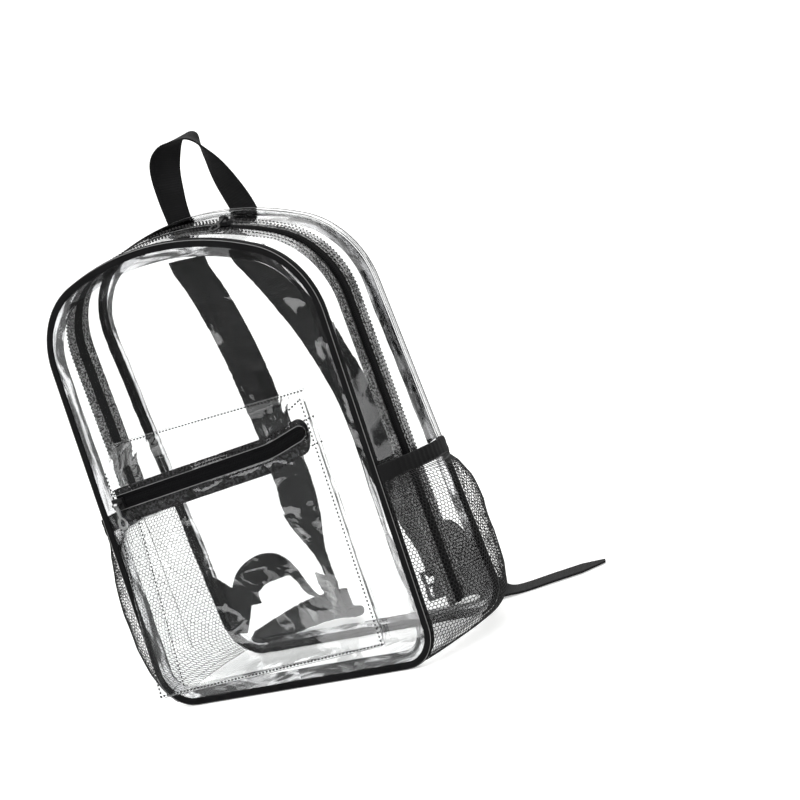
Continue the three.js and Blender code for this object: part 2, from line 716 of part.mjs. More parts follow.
/** Shoulder strap: sewn to the back, bowed out behind it and looped round the buckle's top bar. */
function makeShoulderStrap(label, side) {
  const strapTable = [
    { drop: 0, out: 0, bow: 0 }, { drop: 0.03, out: 0, bow: 0.02 }, { drop: 0.12, out: 0.1, bow: 0.35 },
    { drop: 0.3, out: 0.35, bow: 0.8 }, { drop: 0.5, out: 0.55, bow: 1 }, { drop: 0.7, out: 0.6, bow: 1 },
    { drop: 0.85, out: 0.85, bow: 0.97 },
  ];
  const topZ = bodyHeight - strapDrop;
  const barZ = barPitch;
  const loop = barReach + seamGap + strapWall / 2;
  const footZ = buckleZ + barZ + strapEndLength;
  const topX = strapTopX - (side > 0 ? rightStrapShift : 0);
  const points = strapTable.map(({ drop, out, bow }) => {
    const z = lerp(topZ, footZ, drop);
    const x = side * lerp(topX, Math.abs(buckleCentre(side).x), out);
    return vec(x, panelRear(z) + seamGap + strapWall / 2 + bow * strapBow, z);
  });
  const loopTable = [
    { off: 1, up: strapEndLength }, { off: 1, up: 1 }, { off: 0.7, up: -0.72 * loop },
    { off: 0, up: -loop }, { off: -0.7, up: -0.72 * loop }, { off: -1, up: 1 },
    { off: -1, up: strapEndLength },
  ];
  points.push(...loopTable.map(({ off, up }) => bucklePoint(side, 0, off * loop, barZ + up)));
  const path = smoothPath(points, 48);
  const turned = buckleAcross(side).multiplyScalar(-side);
  const sides = path.map((point) => {
    const share = THREE.MathUtils.smoothstep(strapTwistTop - point.z, 0, strapTwistTop - footZ);
    return vec(1, 0, 0).lerp(turned, share).normalize();
  });
  const widths = path.map((point) => {
    const share = THREE.MathUtils.smoothstep(strapTwistTop - point.z, 0, strapTwistTop - footZ);
    return lerp(strapWidth, webbingWidth, share);
  });
  add(`shoulder_strap_${label}`, ribbonBody(path, sides, widths, strapWall), blackWebbing);
}

/** Tab of cloth that is caught in the rear seam and holds the lower webbing. */
function makeAnchorTab(label, side) {
  const tabTable = [
    { reach: 0, rise: 1 }, { reach: 0.46, rise: 0.74 }, { reach: 1, rise: 0.62 },
    { reach: 0.76, rise: 0.34 }, { reach: 0.43, rise: 0 }, { reach: 0.02, rise: 0.05 },
  ];
  const edge = halfWidth - bindingRound;
  const outline = tabTable.map(({ reach, rise }) => ({
    x: side * (edge - reach * anchorReach), z: anchorFoot + rise * anchorHeight,
  }));
  const skin = (off) => (p) => vec(p.x, halfDepth(p.z) + seamGap + off, p.z);
  add(`anchor_tab_${label}`, plateBody(outline, skin(anchorWall), skin(0)), blackWebbing);
}

/** Lower webbing: from the tab in an arch to the buckle, through its slot and on as a free tail. */
function makeLowerWebbing(label, side) {
  const archTable = [
    { along: 0, off: 0, rise: -0.5, x: 1, y: 0, z: 0 },
    { along: 0, off: 0, rise: 0, x: 1, y: 0, z: 0 },
    { along: 0.02, off: 0.1, rise: 0.42, x: 0.88, y: 0, z: -0.48 },
    { along: 0.1, off: 0.27, rise: 0.78, x: 0.45, y: 0, z: -0.9 },
    { along: 0.26, off: 0.42, rise: 1, x: 0.05, y: 0, z: -1 },
    { along: 0.42, off: 0.56, rise: 0.94, x: -0.4, y: 0.1, z: -0.9 },
    { along: 0.57, off: 0.7, rise: 0.6, x: -0.55, y: 0.5, z: -0.6 },
    { along: 0.66, off: 0.76, rise: 0, x: -0.65, y: 0.6, z: -0.4 },
    { along: 0.73, off: 0.8, rise: -0.7, x: -0.75, y: 0.6, z: -0.2 },
  ];
  const slot = bucklePoint(side, 0, 0, -barPitch / 2);
  const startZ = anchorFoot + anchorHeight * 0.55;
  const start = vec(
    side * (halfWidth - anchorReach * 0.76),
    halfDepth(startZ) + seamGap + anchorWall + webbingSeat + webbingWall / 2,
    startZ,
  );
  const rows = archTable.map(({ along, off, rise, x, y, z }) => ({
    point: vec(lerp(start.x, slot.x, along), lerp(start.y, slot.y, off), start.z + rise * archRise),
    across: vec(-side * x, y, z),
  }));
  const across = buckleAcross(side).negate();
  for (const { sideways, off, up } of [
    { sideways: -5, off: -8, up: 10 }, { sideways: -1.5, off: -4.5, up: 4.4 }, { sideways: 0, off: 0, up: 0 },
    { sideways: 0, off: 4.5, up: -3 }, { sideways: 0, off: 9, up: -4.4 },
  ]) {
    rows.push({ point: bucklePoint(side, sideways, off, up - barPitch / 2), across: across.clone() });
  }
  const tail = side < 0 ? leftTail : rightTail;
  for (const { x, y, z, ax, ay, az } of tail) {
    rows.push({ point: vec(slot.x + x, slot.y + y, z), across: vec(ax, ay, az) });
  }
  const steps = 84;
  const path = smoothPath(rows.map((row) => row.point), steps);
  const sides = smoothPath(rows.map((row) => row.across.normalize()), steps);
  const widths = path.map((point, i) => {
    const left = path.length - 1 - i;
    return webbingWidth * Math.min(1, 0.3 + 0.35 * left);
  });
  add(`lower_webbing_${label}`, ribbonBody(path, sides, widths, webbingWall), blackWebbing);
}

makePanels();
makeBindings();
makeGussetBands();
makeBasePanel();
const mainChainInset = makeMainZip();
makePocketFace();
makePocketTop();
makePocketGusset();
const pocketChainBehind = makePocketZip();
makeSliders(mainChainInset, pocketChainBehind);
makeSidePockets();
makeHandle();
for (const [label, side] of [["left", -1], ["right", 1]]) {
  makeBuckle(label, side);
  makeShoulderStrap(label, side);
  makeAnchorTab(label, side);
  makeLowerWebbing(label, side);
}

export default model;
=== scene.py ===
# Clear stadium backpack, dressed for rendering round its packed frame. Metres, +Z up.
import math

import bpy
from bpy.props import FloatProperty, FloatVectorProperty, PointerProperty
from mathutils import Matrix, Vector, noise


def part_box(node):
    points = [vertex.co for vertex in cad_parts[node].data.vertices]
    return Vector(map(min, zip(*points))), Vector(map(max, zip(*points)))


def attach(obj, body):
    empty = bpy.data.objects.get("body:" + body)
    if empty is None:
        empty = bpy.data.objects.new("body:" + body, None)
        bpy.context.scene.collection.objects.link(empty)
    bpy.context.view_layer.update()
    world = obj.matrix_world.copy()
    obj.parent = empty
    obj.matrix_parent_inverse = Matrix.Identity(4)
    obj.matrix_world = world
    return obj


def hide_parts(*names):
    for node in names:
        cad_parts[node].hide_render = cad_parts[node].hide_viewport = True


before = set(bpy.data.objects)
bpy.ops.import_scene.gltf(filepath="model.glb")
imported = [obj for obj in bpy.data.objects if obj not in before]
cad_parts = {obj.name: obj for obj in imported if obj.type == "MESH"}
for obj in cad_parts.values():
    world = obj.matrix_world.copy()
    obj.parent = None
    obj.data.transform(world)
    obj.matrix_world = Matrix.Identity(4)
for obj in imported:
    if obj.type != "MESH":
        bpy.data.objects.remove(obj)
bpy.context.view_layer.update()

bl_info = {
    "name": "Clear Stadium Backpack",
    "version": (1, 0, 0),
    "blender": (4, 5, 0),
    "location": "View3D > Sidebar > Backpack",
    "description": "Builds a clear vinyl backpack with black edging, net side pockets and webbing straps",
    "category": "Object",
}

MM = 0.001
RIM_LOW, RIM_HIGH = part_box("rear_binding")
QUARTER = math.pi / 2
SIDES = (("left", -1), ("right", 1))
UP = Vector((0, 0, 1))
FRONT = Vector((0, -1, 0))

# Fixed distances of the sewing, in metres
SEAM_GAP = 0.0003
PANEL_SINK = 0.0018
GUSSET_SINK = 0.0022
POCKET_SEAM = 0.0008
TAPE_WALL = 0.0007
HIGHLIGHT_LIP_RADIUS = 0.0003
TAB_WALL = 0.0016
TAB_FOOT = 0.018
TAB_HEIGHT = 0.058
TAB_REACH = 0.037

# Steps in each arc of the outline, from the base to the crown
BASE_STEPS, CORNER_STEPS, CROWN_STEPS = 10, 16, 12


def length(label, note, default):
    """Length that a user may change, in metres."""
    return FloatProperty(name=label, description=note, default=default, subtype="DISTANCE", unit="LENGTH")


def colour(label, note, default):
    """Colour that a user may change."""
    return FloatVectorProperty(
        name=label, description=note, default=default, subtype="COLOR", min=0, max=1, size=3
    )


class BagSizes(bpy.types.PropertyGroup):
    width: length("Width", "Over the binding", RIM_HIGH.x - RIM_LOW.x)
    height: length("Height", "Over the binding, without the handle", RIM_HIGH.z - RIM_LOW.z)
    base_depth: length("Base depth", "Front to back at the base", 2 * RIM_HIGH.y)
    top_depth: length("Top depth", "Front to back at the crown", 0.078)
    base_corner: length("Base corner", "Radius of the panels' lower corners", 0.032)
    top_corner: length("Top corner", "Radius of the panels' upper corners", 0.07)
    crown: length("Crown", "Radius of the top edge", 0.26)
    vinyl: length("Vinyl", "Thickness of the clear sheets", 0.0005)
    ripple: length("Ripple", "How far the clear sheets wave", 0.0022)
    binding: length("Binding leg", "How far the black binding reaches over each sheet", 0.006)
    zip_slot: length("Zip slot", "Gap between the clear sheets along the main zip", 0.013)
    zip_tape: length("Zip tape", "Width of the main zip's tape", 0.031)
    zip_left_end: length("Zip's left end", "Height at which the main zip stops on the left", 0.166)


class PocketSizes(bpy.types.PropertyGroup):
    width: length("Width", "Of the pocket at its fold", 0.2)
    right: length("Right side", "Place of its right seam", 0.097)
    zip_slot: length("Zip slot", "Gap between the clear sheets along the pocket's zip", 0.0125)
    net_bulge: length("Net bulge", "How far a net side pocket stands off", 0.038)
    net_cell: length("Net cell", "Pitch of the net's holes", 0.0034)
    net_thread: length("Net thread", "Thickness of the net's strands", 0.0007)
    hem_front: length("Hem in front", "Height of the elastic hem at the front binding", 0.168)
    hem_rear: length("Hem behind", "Height of the elastic hem at the rear binding", 0.156)
    hem_height: length("Hem height", "Width of the elastic hem", 0.014)


class StrapSizes(bpy.types.PropertyGroup):
    webbing: length("Webbing", "Width of the narrow webbing", 0.025)
    webbing_wall: length("Webbing wall", "Thickness of the narrow webbing", 0.0015)
    shoulder: length("Shoulder strap", "Width of a shoulder strap", 0.037)
    shoulder_wall: length("Shoulder wall", "Thickness of a shoulder strap", 0.002)
    stitch: length("Stitch", "Pitch of the sewn seams", 0.0034)
    thread: length("Thread", "Thickness of the sewing thread", 0.0015)


class Finishes(bpy.types.PropertyGroup):
    vinyl: colour("Vinyl", "Tint of the clear sheets", (0.985, 0.99, 0.99))
    # Grey of the painted reflection streaks on the seam allowances, darkened and lightened by each finish.
    reflection_streak_tint: colour("Painted reflection streaks", "Tint of the sheets' seam allowances", (0.62, 0.62, 0.63))
    binding: colour("Binding", "Edge binding", (0.006, 0.006, 0.0065))
    webbing: colour("Webbing", "Handle, straps and hems", (0.0065, 0.0065, 0.007))
    tape: colour("Zip tape", "Woven zip tape", (0.006, 0.006, 0.0065))
    net: colour("Net", "Side pockets", (0.006, 0.006, 0.0065))
    plastic: colour("Plastic", "Sliders and ladder locks", (0.005, 0.005, 0.0055))
    metal: colour("Metal", "Zip pulls", (0.72, 0.73, 0.74))
    thread: colour("Thread", "Sewing thread", (0.004, 0.004, 0.004))
    floor: colour("Floor", "Paper that the bag stands on", (0.93, 0.93, 0.92))


class StageSizes(bpy.types.PropertyGroup):
    azimuth: FloatProperty(name="Azimuth", description="Camera's way round", default=36.15)
    elevation: FloatProperty(name="Elevation", description="Camera's height angle", default=11.78)
    roll: FloatProperty(name="Roll", description="Camera's lean", default=20.01)
    distance: length("Distance", "From the camera to the bag", 4.5)
    target_z: length("Target height", "Height of the point that the camera was fitted to", 0.19)
    slide_right: length("Slide right", "Camera's move along the picture", 0.1145)
    slide_up: length("Slide up", "Camera's move up the picture", 0.0375)
    lens: FloatProperty(name="Lens", description="Focal length in millimetres", default=249.9)


def bag():
    return bpy.context.scene.backpack_bag


def pocket():
    return bpy.context.scene.backpack_pocket


def strap_sizes():
    return bpy.context.scene.backpack_straps


def finishes():
    return bpy.context.scene.backpack_finishes


# Sums and tables

def lerp(first, last, share):
    return first + (last - first) * share


def smoothstep(value, low, high):
    share = min(max((value - low) / (high - low), 0), 1)
    return share * share * (3 - 2 * share)


def spread(first, last, steps):
    """Numbers from first to last in equal steps, both ends included."""
    return [lerp(first, last, i / steps) for i in range(steps + 1)]


def read_table(rows, share):
    """Value between the rows (share, value) of a table."""
    if share <= rows[0][0]:
        return rows[0][1]
    for (low, low_value), (high, high_value) in zip(rows, rows[1:]):
        if share <= high:
            return lerp(low_value, high_value, (share - low) / (high - low))
    return rows[-1][1]


def smooth_path(points, steps):
    """Centripetal curve through points, as many steps in each stretch between two of them."""
    points = [Vector(p) for p in points]
    before = points[0] * 2 - points[1]
    after = points[-1] * 2 - points[-2]
    line = [before, *points, after]
    path = []
    for i in range(steps + 1):
        place = i / steps * (len(points) - 1)
        start = min(int(place), len(points) - 2)
        share = place - start
        a, b, c, d = line[start:start + 4]
        first, middle, last = [max((q - p).length, 1e-8) ** 0.5 for p, q in ((a, b), (b, c), (c, d))]
        leave = ((b - a) / first - (c - a) / (first + middle) + (c - b) / middle) * middle
        reach = ((c - b) / middle - (d - b) / (middle + last) + (d - c) / last) * middle
        square = (c - b) * 3 - leave * 2 - reach
        cube = (b - c) * 2 + leave + reach
        path.append(b + leave * share + square * share ** 2 + cube * share ** 3)
    return path


def wave(x, y, z, scale, seed=0.0):
    """Soft seeded noise between about -1 and 1; scale is the size of its waves."""
    return noise.noise(Vector((x / scale + seed, y / scale, z / scale - seed)))


# Handling of pieces

def select_only(piece):
    bpy.ops.object.select_all(action="DESELECT")
    piece.select_set(True)
    bpy.context.view_layer.objects.active = piece


def edit(piece):
    """All of a piece's mesh selected, in edit mode."""
    select_only(piece)
    bpy.ops.object.mode_set(mode="EDIT")
    bpy.ops.mesh.select_all(action="SELECT")


def leave_edit():
    bpy.ops.object.mode_set(mode="OBJECT")


def modify(piece, kind, **settings):
    """Modifier applied to a piece."""
    modifier = piece.modifiers.new(kind.title(), kind)
    for key, value in settings.items():
        setattr(modifier, key, value)
    select_only(piece)
    bpy.ops.object.modifier_apply(modifier=modifier.name)


def grid(name, place, columns, rows, size, closed=False):
    """Grid whose points are laid by place(across, along), with its UV map in metres."""
    bpy.ops.object.select_all(action="DESELECT")
    bpy.ops.mesh.primitive_grid_add(x_subdivisions=columns, y_subdivisions=rows, size=1)
    piece = bpy.context.object
    piece.name = name
    for vertex in piece.data.vertices:
        vertex.co = place(vertex.co.x + 0.5, vertex.co.y + 0.5)
    for corner in piece.data.uv_layers.active.data:
        corner.uv = (corner.uv[0] * size[0], corner.uv[1] * size[1])
    if closed:
        edit(piece)
        bpy.ops.mesh.remove_doubles(threshold=0.00001)
        bpy.ops.mesh.normals_make_consistent(inside=False)
        leave_edit()
    return piece


def built(name, points, faces):
    """Mesh piece from points and faces that were worked out."""
    mesh = bpy.data.meshes.new(name)
    mesh.from_pydata(points, [], faces)
    mesh.update()
    piece = bpy.data.objects.new(name, mesh)
    bpy.context.scene.collection.objects.link(piece)
    return piece


def turn_out(piece):
    """Faces of a closed piece turned outwards."""
    edit(piece)
    bpy.ops.mesh.normals_make_consistent(inside=False)
    leave_edit()


def joined(name, pieces):
    """Several pieces made one."""
    select_only(pieces[0])
    for piece in pieces[1:]:
        piece.select_set(True)
    bpy.ops.object.join()
    pieces[0].name = name
    return pieces[0]


def settle(piece, material, body="bag", replaced=(), smooth=40):
    """Piece with its finish, on its body, standing for the CAD nodes that it replaces."""
    select_only(piece)
    bpy.ops.object.transform_apply(location=True, rotation=True, scale=True)
    bpy.ops.object.shade_smooth_by_angle(angle=math.radians(smooth))
    piece.data.materials.clear()
    piece.data.materials.append(bpy.data.materials[material])
    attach(piece, body)
    if replaced:
        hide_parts(*replaced)
    return piece


def sheet(name, place, columns, rows, size, wall, material, replaced=(), closed=False):
    """Thin sheet laid by place(across, along), with its wall and finish."""
    piece = grid(name, place, columns, rows, size, closed)
    modify(piece, "SOLIDIFY", thickness=wall, offset=0)
    turn_out(piece)
    return settle(piece, material, replaced=replaced)


def vinyl_sheet(name, place, columns, rows, size, replaced=(), material="Clear Vinyl", closed=False):
    wall = bag().vinyl
    return sheet(name, place, columns, rows, size, wall, material, replaced, closed)


def painted_highlight_lip(name, place, rows, run):
    """Thin round edge of a cut sheet, laid by place(angle, along). run is its length in metres."""
    lip = grid(name, lambda u, v: place(math.tau * u, v), 6, rows, (0.003, run), closed=True)
    settle(lip, "Vinyl Lip", smooth=80)


def finish_where(piece, material, chosen):
    """Second finish on the faces that a test picks."""
    piece.data.materials.append(bpy.data.materials[material])
    for face in piece.data.polygons:
        if chosen(face.center):
            face.material_index = 1


def strand_mesh(name, ends, thickness, sides=3):
    """Many short straight strands as one mesh. ends holds (first, last, normal) of each."""
    points = []
    faces = []
    for first, last, normal in ends:
        along = (last - first).normalized()
        side = along.cross(normal).normalized()
        up = side.cross(along)
        start = len(points)
        for end in (first, last):
            for i in range(sides):
                turn = math.tau * (i + 0.25) / sides
                points.append(end + (side * math.cos(turn) + up * math.sin(turn)) * thickness / 2)
        for i in range(sides):
            after = (i + 1) % sides
            faces.append((start + i, start + after, start + sides + after, start + sides + i))
        faces.append(tuple(start + i for i in reversed(range(sides))))
        faces.append(tuple(start + sides + i for i in range(sides)))
    return built(name, points, faces)


def path_lengths(points):
    """Length of a path up to each of its points."""
    lengths = [0.0]
    for a, b in zip(points, points[1:]):
        lengths.append(lengths[-1] + (b - a).length)
    return lengths


def along_path(points, pitch, margin=0.0):
    """Places at a pitch along a path: (point, direction, share of its length)."""
    lengths = path_lengths(points)
    total = lengths[-1]
    count = max(int((total - 2 * margin) / pitch), 1)
    found = []
    spot = 0
    for i in range(count + 1):
        at = margin + (total - 2 * margin) * i / count
        while spot < len(lengths) - 2 and lengths[spot + 1] < at:
            spot += 1
        run = max(lengths[spot + 1] - lengths[spot], 1e-9)
        share = (at - lengths[spot]) / run
        a, b = points[spot], points[spot + 1]
        found.append((a.lerp(b, share), (b - a).normalized(), (spot + share) / (len(points) - 1)))
    return found


def stitch_row(points, normals, pitch, thread):
    """Sewn stitches along a path: each an elongated bead, raised in its middle. Gives points and faces."""
    verts = []
    faces = []
    for point, along, share in along_path(points, pitch, pitch / 2):
        normal = normals(share)
        side = along.cross(normal).normalized()
        up = side.cross(along)
        half = pitch * 0.31
        start = len(verts)
        verts.append(point - along * half - up * thread * 0.3)
        for reach in (-0.55, 0.55):
            centre = point + along * half * reach + up * thread * 0.25
            for right, rise in ((1, 0), (0, 0.75), (-1, 0), (0, -0.75)):
                verts.append(centre + side * right * thread / 2 + up * rise * thread / 2)
        verts.append(point + along * half - up * thread * 0.3)
        for i in range(4):
            after = (i + 1) % 4
            faces.append((start, start + 1 + after, start + 1 + i))
            faces.append((start + 1 + i, start + 1 + after, start + 5 + after, start + 5 + i))
            faces.append((start + 5 + i, start + 5 + after, start + 9))
    return verts, faces


def stitched(name, rows):
    """Piece of several stitch rows. rows holds (points, normals function)."""
    sizes = strap_sizes()
    verts = []
    faces = []
    for points, normals in rows:
        new_verts, new_faces = stitch_row(points, normals, sizes.stitch, sizes.thread)
        start = len(verts)
        verts += new_verts
        faces += [tuple(start + i for i in face) for face in new_faces]
    piece = built(name, verts, faces)
    turn_out(piece)
    return settle(piece, "Sewing Thread")


def ribbon(name, path, across, widths, wall, material, replaced=(), columns=6):
    """Flat band along a path, with a real thickness and its UV map in metres along the band."""
    steps = len(path) - 1

    def place(u, v):
        i = round(v * steps)
        along = (path[min(i + 1, steps)] - path[max(i - 1, 0)]).normalized()
        side = across[i] - along * across[i].dot(along)
        side.normalize()
        return path[i] + side * (u - 0.5) * widths[i]

    piece = grid(name, place, columns, steps, (max(widths), path_lengths(path)[-1]))
    modify(piece, "SOLIDIFY", thickness=wall, offset=0, use_even_offset=True)
    modify(piece, "BEVEL", width=wall * 0.3, segments=1, limit_method="ANGLE", angle_limit=math.radians(60))
    turn_out(piece)
    return settle(piece, material, replaced=replaced, smooth=50)


# Outline of the panels

def rim_stations():
    """Right half of the outline from the middle of the base to the middle of the crown: x, z and angle."""
    s = bag()
    half = s.width / 2
    centre_x = half - s.top_corner
    reach = s.crown - s.top_corner
    centre_z = s.height - s.crown + math.sqrt(reach ** 2 - centre_x ** 2)
    crown_angle = math.asin(centre_x / reach)
    arcs = [
        (half - s.base_corner, s.base_corner, s.base_corner, -QUARTER, 0, BASE_STEPS),
        (centre_x, centre_z, s.top_corner, 0, QUARTER - crown_angle, CORNER_STEPS),
        (0, s.height - s.crown, s.crown, QUARTER - crown_angle, QUARTER, CROWN_STEPS),
    ]
    stations = [(0, 0, -QUARTER)]
    for x, z, radius, first, last, steps in arcs:
        for angle in spread(first, last, steps):
            stations.append((x + radius * math.cos(angle), z + radius * math.sin(angle), angle))
    return stations


def rim_lengths(stations):
    total = [0.0]
    for a, b in zip(stations, stations[1:]):
        total.append(total[-1] + math.hypot(b[0] - a[0], b[1] - a[1]))
    return total


class Rim:
    """Outline of both panels, read by the share of the way round from the middle of the base."""

    def __init__(self):
        self.stations = rim_stations()
        self.lengths = rim_lengths(self.stations)
        self.half = self.lengths[-1]
        self.base_end = self.lengths[1] / self.half / 2
        self.corner_end = self.lengths[1 + BASE_STEPS]
        self.zip_start = self.corner_end / self.half / 2

    def at(self, share, inset=0.0):
        """x and z of the outline, inset, and its outward angle."""
        share = share % 1.0
        mirrored = share > 0.5
        distance = (1 - share if mirrored else share) * 2 * self.half
        spot = 0
        while spot < len(self.lengths) - 2 and self.lengths[spot + 1] < distance:
            spot += 1
        run = max(self.lengths[spot + 1] - self.lengths[spot], 1e-9)
        mix = min(max((distance - self.lengths[spot]) / run, 0), 1)
        x, z, angle = [lerp(a, b, mix) for a, b in zip(self.stations[spot], self.stations[spot + 1])]
        if mirrored:
            x, angle = -x, math.pi - angle
        return x - inset * math.cos(angle), z - inset * math.sin(angle), angle

    def point(self, share, inset, sunk, side):
        """Point that is inset from the outline and sunk from a panel's plane; side is -1 in front."""
        x, z, _ = self.at(share, inset)
        return Vector((x, side * (half_depth(z) - sunk), z))

    def side_share(self, z):
        """Share of the way round at a height of the straight right side."""
        return (self.corner_end + z - bag().base_corner) / self.half / 2

    def zip_ends(self):
        """Shares where the main zip starts on the right and stops on the left."""
        return self.zip_start, 1 - self.side_share(bag().zip_left_end)

    def out(self, share):
        """Direction away from the bag's middle at a share of the way round."""
        angle = self.at(share)[2]
        return Vector((math.cos(angle), 0, math.sin(angle)))


def half_depth(z):
    s = bag()
    return lerp(s.base_depth, s.top_depth, z / s.height) / 2


def half_width(z):
    s = bag()
    rise = max(s.base_corner - z, 0)
    return s.width / 2 - s.base_corner + math.sqrt(max(s.base_corner ** 2 - rise ** 2, 0))


def panel_y(z, side):
    return side * (half_depth(z) - PANEL_SINK)


# Clear sheets

def make_panels():
    rim = Rim()
    s = bag()
    inset = 0.0016
    for label, side, seed in (("front", -1, 3.1), ("back", 1, 8.4)):

        def place(u, v):
            share = lerp(rim.base_end, 0.5, v)
            x, z, _ = rim.at(share, inset)
            spot = x * (2 * u - 1)
            edge = min(1, 4 * u * (1 - u) * 3, v * 12, (1 - v) * 6)
            slow = wave(spot, 0, z, 0.11, seed) + 0.5 * wave(spot, 0, z, 0.045, seed + 5)
            return Vector((spot, panel_y(z, side) + side * edge * s.ripple * slow, z))

        vinyl_sheet(f"vinyl_{label}_panel", place, 56, 76, (s.width, s.height), [f"{label}_panel"])


def make_gussets():
    rim = Rim()
    s = bag()
    last = rim.zip_ends()[1]
    closed_gap, lowest, base_sag, base_wave = 0.0004, 0.0003, 0.0015, 0.0008
    for label, side, seed in (("front", -1, 1.7), ("rear", 1, 6.2)):

        def place(u, v):
            share = lerp(rim.zip_start, 1 - rim.zip_start, v)
            x, z, angle = rim.at(share, PANEL_SINK)
            outer = half_depth(z) - GUSSET_SINK
            inner = s.zip_slot / 2 if share < last else closed_gap
            y = lerp(outer, inner, u)
            edge = min(1, 5 * u * (1 - u), v * 20, (1 - v) * 20)
            waves = 0.4 + wave(x, y, z, 0.05, seed) + 0.6 * wave(x, y, z, 0.02, seed)
            dip = edge * (s.ripple * 0.9 * waves)
            return Vector((x - dip * math.cos(angle), side * y, z - dip * math.sin(angle)))

        vinyl_sheet(f"vinyl_gusset_{label}", place, 12, 150, (0.04, rim.half * 2), [f"gusset_{label}_band"])

    def base_place(u, v):
        share = lerp(-rim.zip_start, rim.zip_start, v)
        x, z, angle = rim.at(share, PANEL_SINK)
        reach = half_depth(z) - GUSSET_SINK
        y = lerp(-reach, reach, u)
        level = max(-math.sin(angle), 0)
        drop = min(1, 6 * u, 6 * (1 - u)) * level * base_sag
        ripple = min(1, 8 * u * (1 - u)) * base_wave * (1 - level) * wave(x, y, z, 0.03)
        return Vector((x - ripple, y, max(z - drop, lowest)))

    base_run = rim.zip_start * 4 * rim.half
    vinyl_sheet("vinyl_base", base_place, 16, 60, (s.base_depth, base_run), ["base_panel"])


def make_flanges():
    """Seam allowance of the side sheets, lying against each panel inside its binding."""
    rim = Rim()
    round_rim = rim.half * 2
    outer, covered, sunk, curl = 0.004, 0.0062, 0.0031, 0.0011
    for label, side, width in (("front", -1, 0.0085), ("back", 1, 0.006)):

        def place(u, v):
            spot = rim.point(v, lerp(outer, covered + width, u), sunk, side)
            roll = curl * u * (0.6 + wave(spot.x, side, spot.z, 0.02, 4))
            return spot - Vector((0, side * roll, 0))

        # The seam allowances carry painted reflection streaks in their colour.
        vinyl_sheet(
            f"vinyl_flange_{label}", place, 4, 300, (width, round_rim), material="Smoky Vinyl", closed=True
        )

    # Strip inside the rear gusset near its edge, from the right hem over the crown, put where the sheets
    # show grey reflections; its streaks are painted reflection.
    past_crown, side_inset, near, far, side_curl = 0.6, 0.0029, 0.0025, 0.0175, 0.0009

    def side_place(u, v):
        share = lerp(rim.side_share(pocket().hem_rear), past_crown, v)
        x, z, angle = rim.at(share, side_inset)
        y = half_depth(z) - lerp(near, far, u)
        roll = side_curl * u * (0.5 + wave(x, y, z, 0.02, 6))
        return Vector((x - roll * math.cos(angle), y, z - roll * math.sin(angle)))

    vinyl_sheet("vinyl_flange_side", side_place, 5, 130, (0.009, 0.4), material="Smoky Edge")


# Black edge binding, folded over the seams

BINDING_SECTION = [
    (1.02, 0.16), (0.96, -0.03), (0.6, -0.05), (0.22, -0.01), (0.07, 0.05), (0.0, 0.17), (-0.04, 0.45),
    (-0.04, 0.8), (-0.01, 0.97), (0.1, 1.03), (0.19, 0.96), (0.2, 0.6), (0.21, 0.3), (0.3, 0.21),
    (0.6, 0.2), (0.96, 0.2),
]


def make_bindings():
    rim = Rim()
    s = bag()
    rows, highlight_centre = 330, 0.00025
    count = len(BINDING_SECTION)
    for label, side, seed in (("front", -1, 2.0), ("rear", 1, 5.0)):

        def place(u, v):
            inset, sunk = BINDING_SECTION[round(u * count) % count]
            x, z, _ = rim.at(v % 1.0)
            wander = 1 + 0.07 * wave(x, side, z, 0.03, seed)
            return rim.point(v, inset * s.binding * wander, sunk * s.binding * wander, side)

        piece = grid(f"edge_binding_{label}", place, count, rows, (0.024, rim.half * 2), closed=True)
        settle(piece, "Edge Binding", replaced=[f"{label}_binding"], smooth=70)
        if side > 0:
            finish_where(piece, "Clear Vinyl", lambda spot: spot.x > -0.01 and spot.z > pocket().hem_rear)

        # Light grey tube along the binding's ridge: a painted highlight line.
        def highlight_place(angle, v):
            inset, sunk = [highlight_centre + HIGHLIGHT_LIP_RADIUS * turn for turn in (math.cos(angle), math.sin(angle))]
            return rim.point(v, inset, sunk, side)

        painted_highlight_lip(f"vinyl_lip_{label}", highlight_place, rows, rim.half * 2)


# Main zip

def zip_tape(name, place, rows, size, node):
    """Woven tape of a zip, which stands for a CAD node."""
    return sheet(name, place, 16, rows, size, TAPE_WALL, "Zip Tape", [node])


def zip_teeth(name, path, out, across, width, node):
    """Two interlocked rows of coil teeth along a path, which stand for a CAD node."""
    height, pitch = 0.0015, 0.0016
    ends = []
    for i, (point, _, share) in enumerate(along_path(path, pitch / 2)):
        side = across * (1 if i % 2 else -1)
        lift = out(share) * height * 0.5
        first = point + side * width * 0.5 - lift * 0.2
        last = point - side * width * 0.12 + lift * 0.4
        ends.append((first, last, out(share)))
    teeth = strand_mesh(name, ends, height * 0.75, sides=5)
    turn_out(teeth)
    settle(teeth, "Zip Coil", replaced=[node])


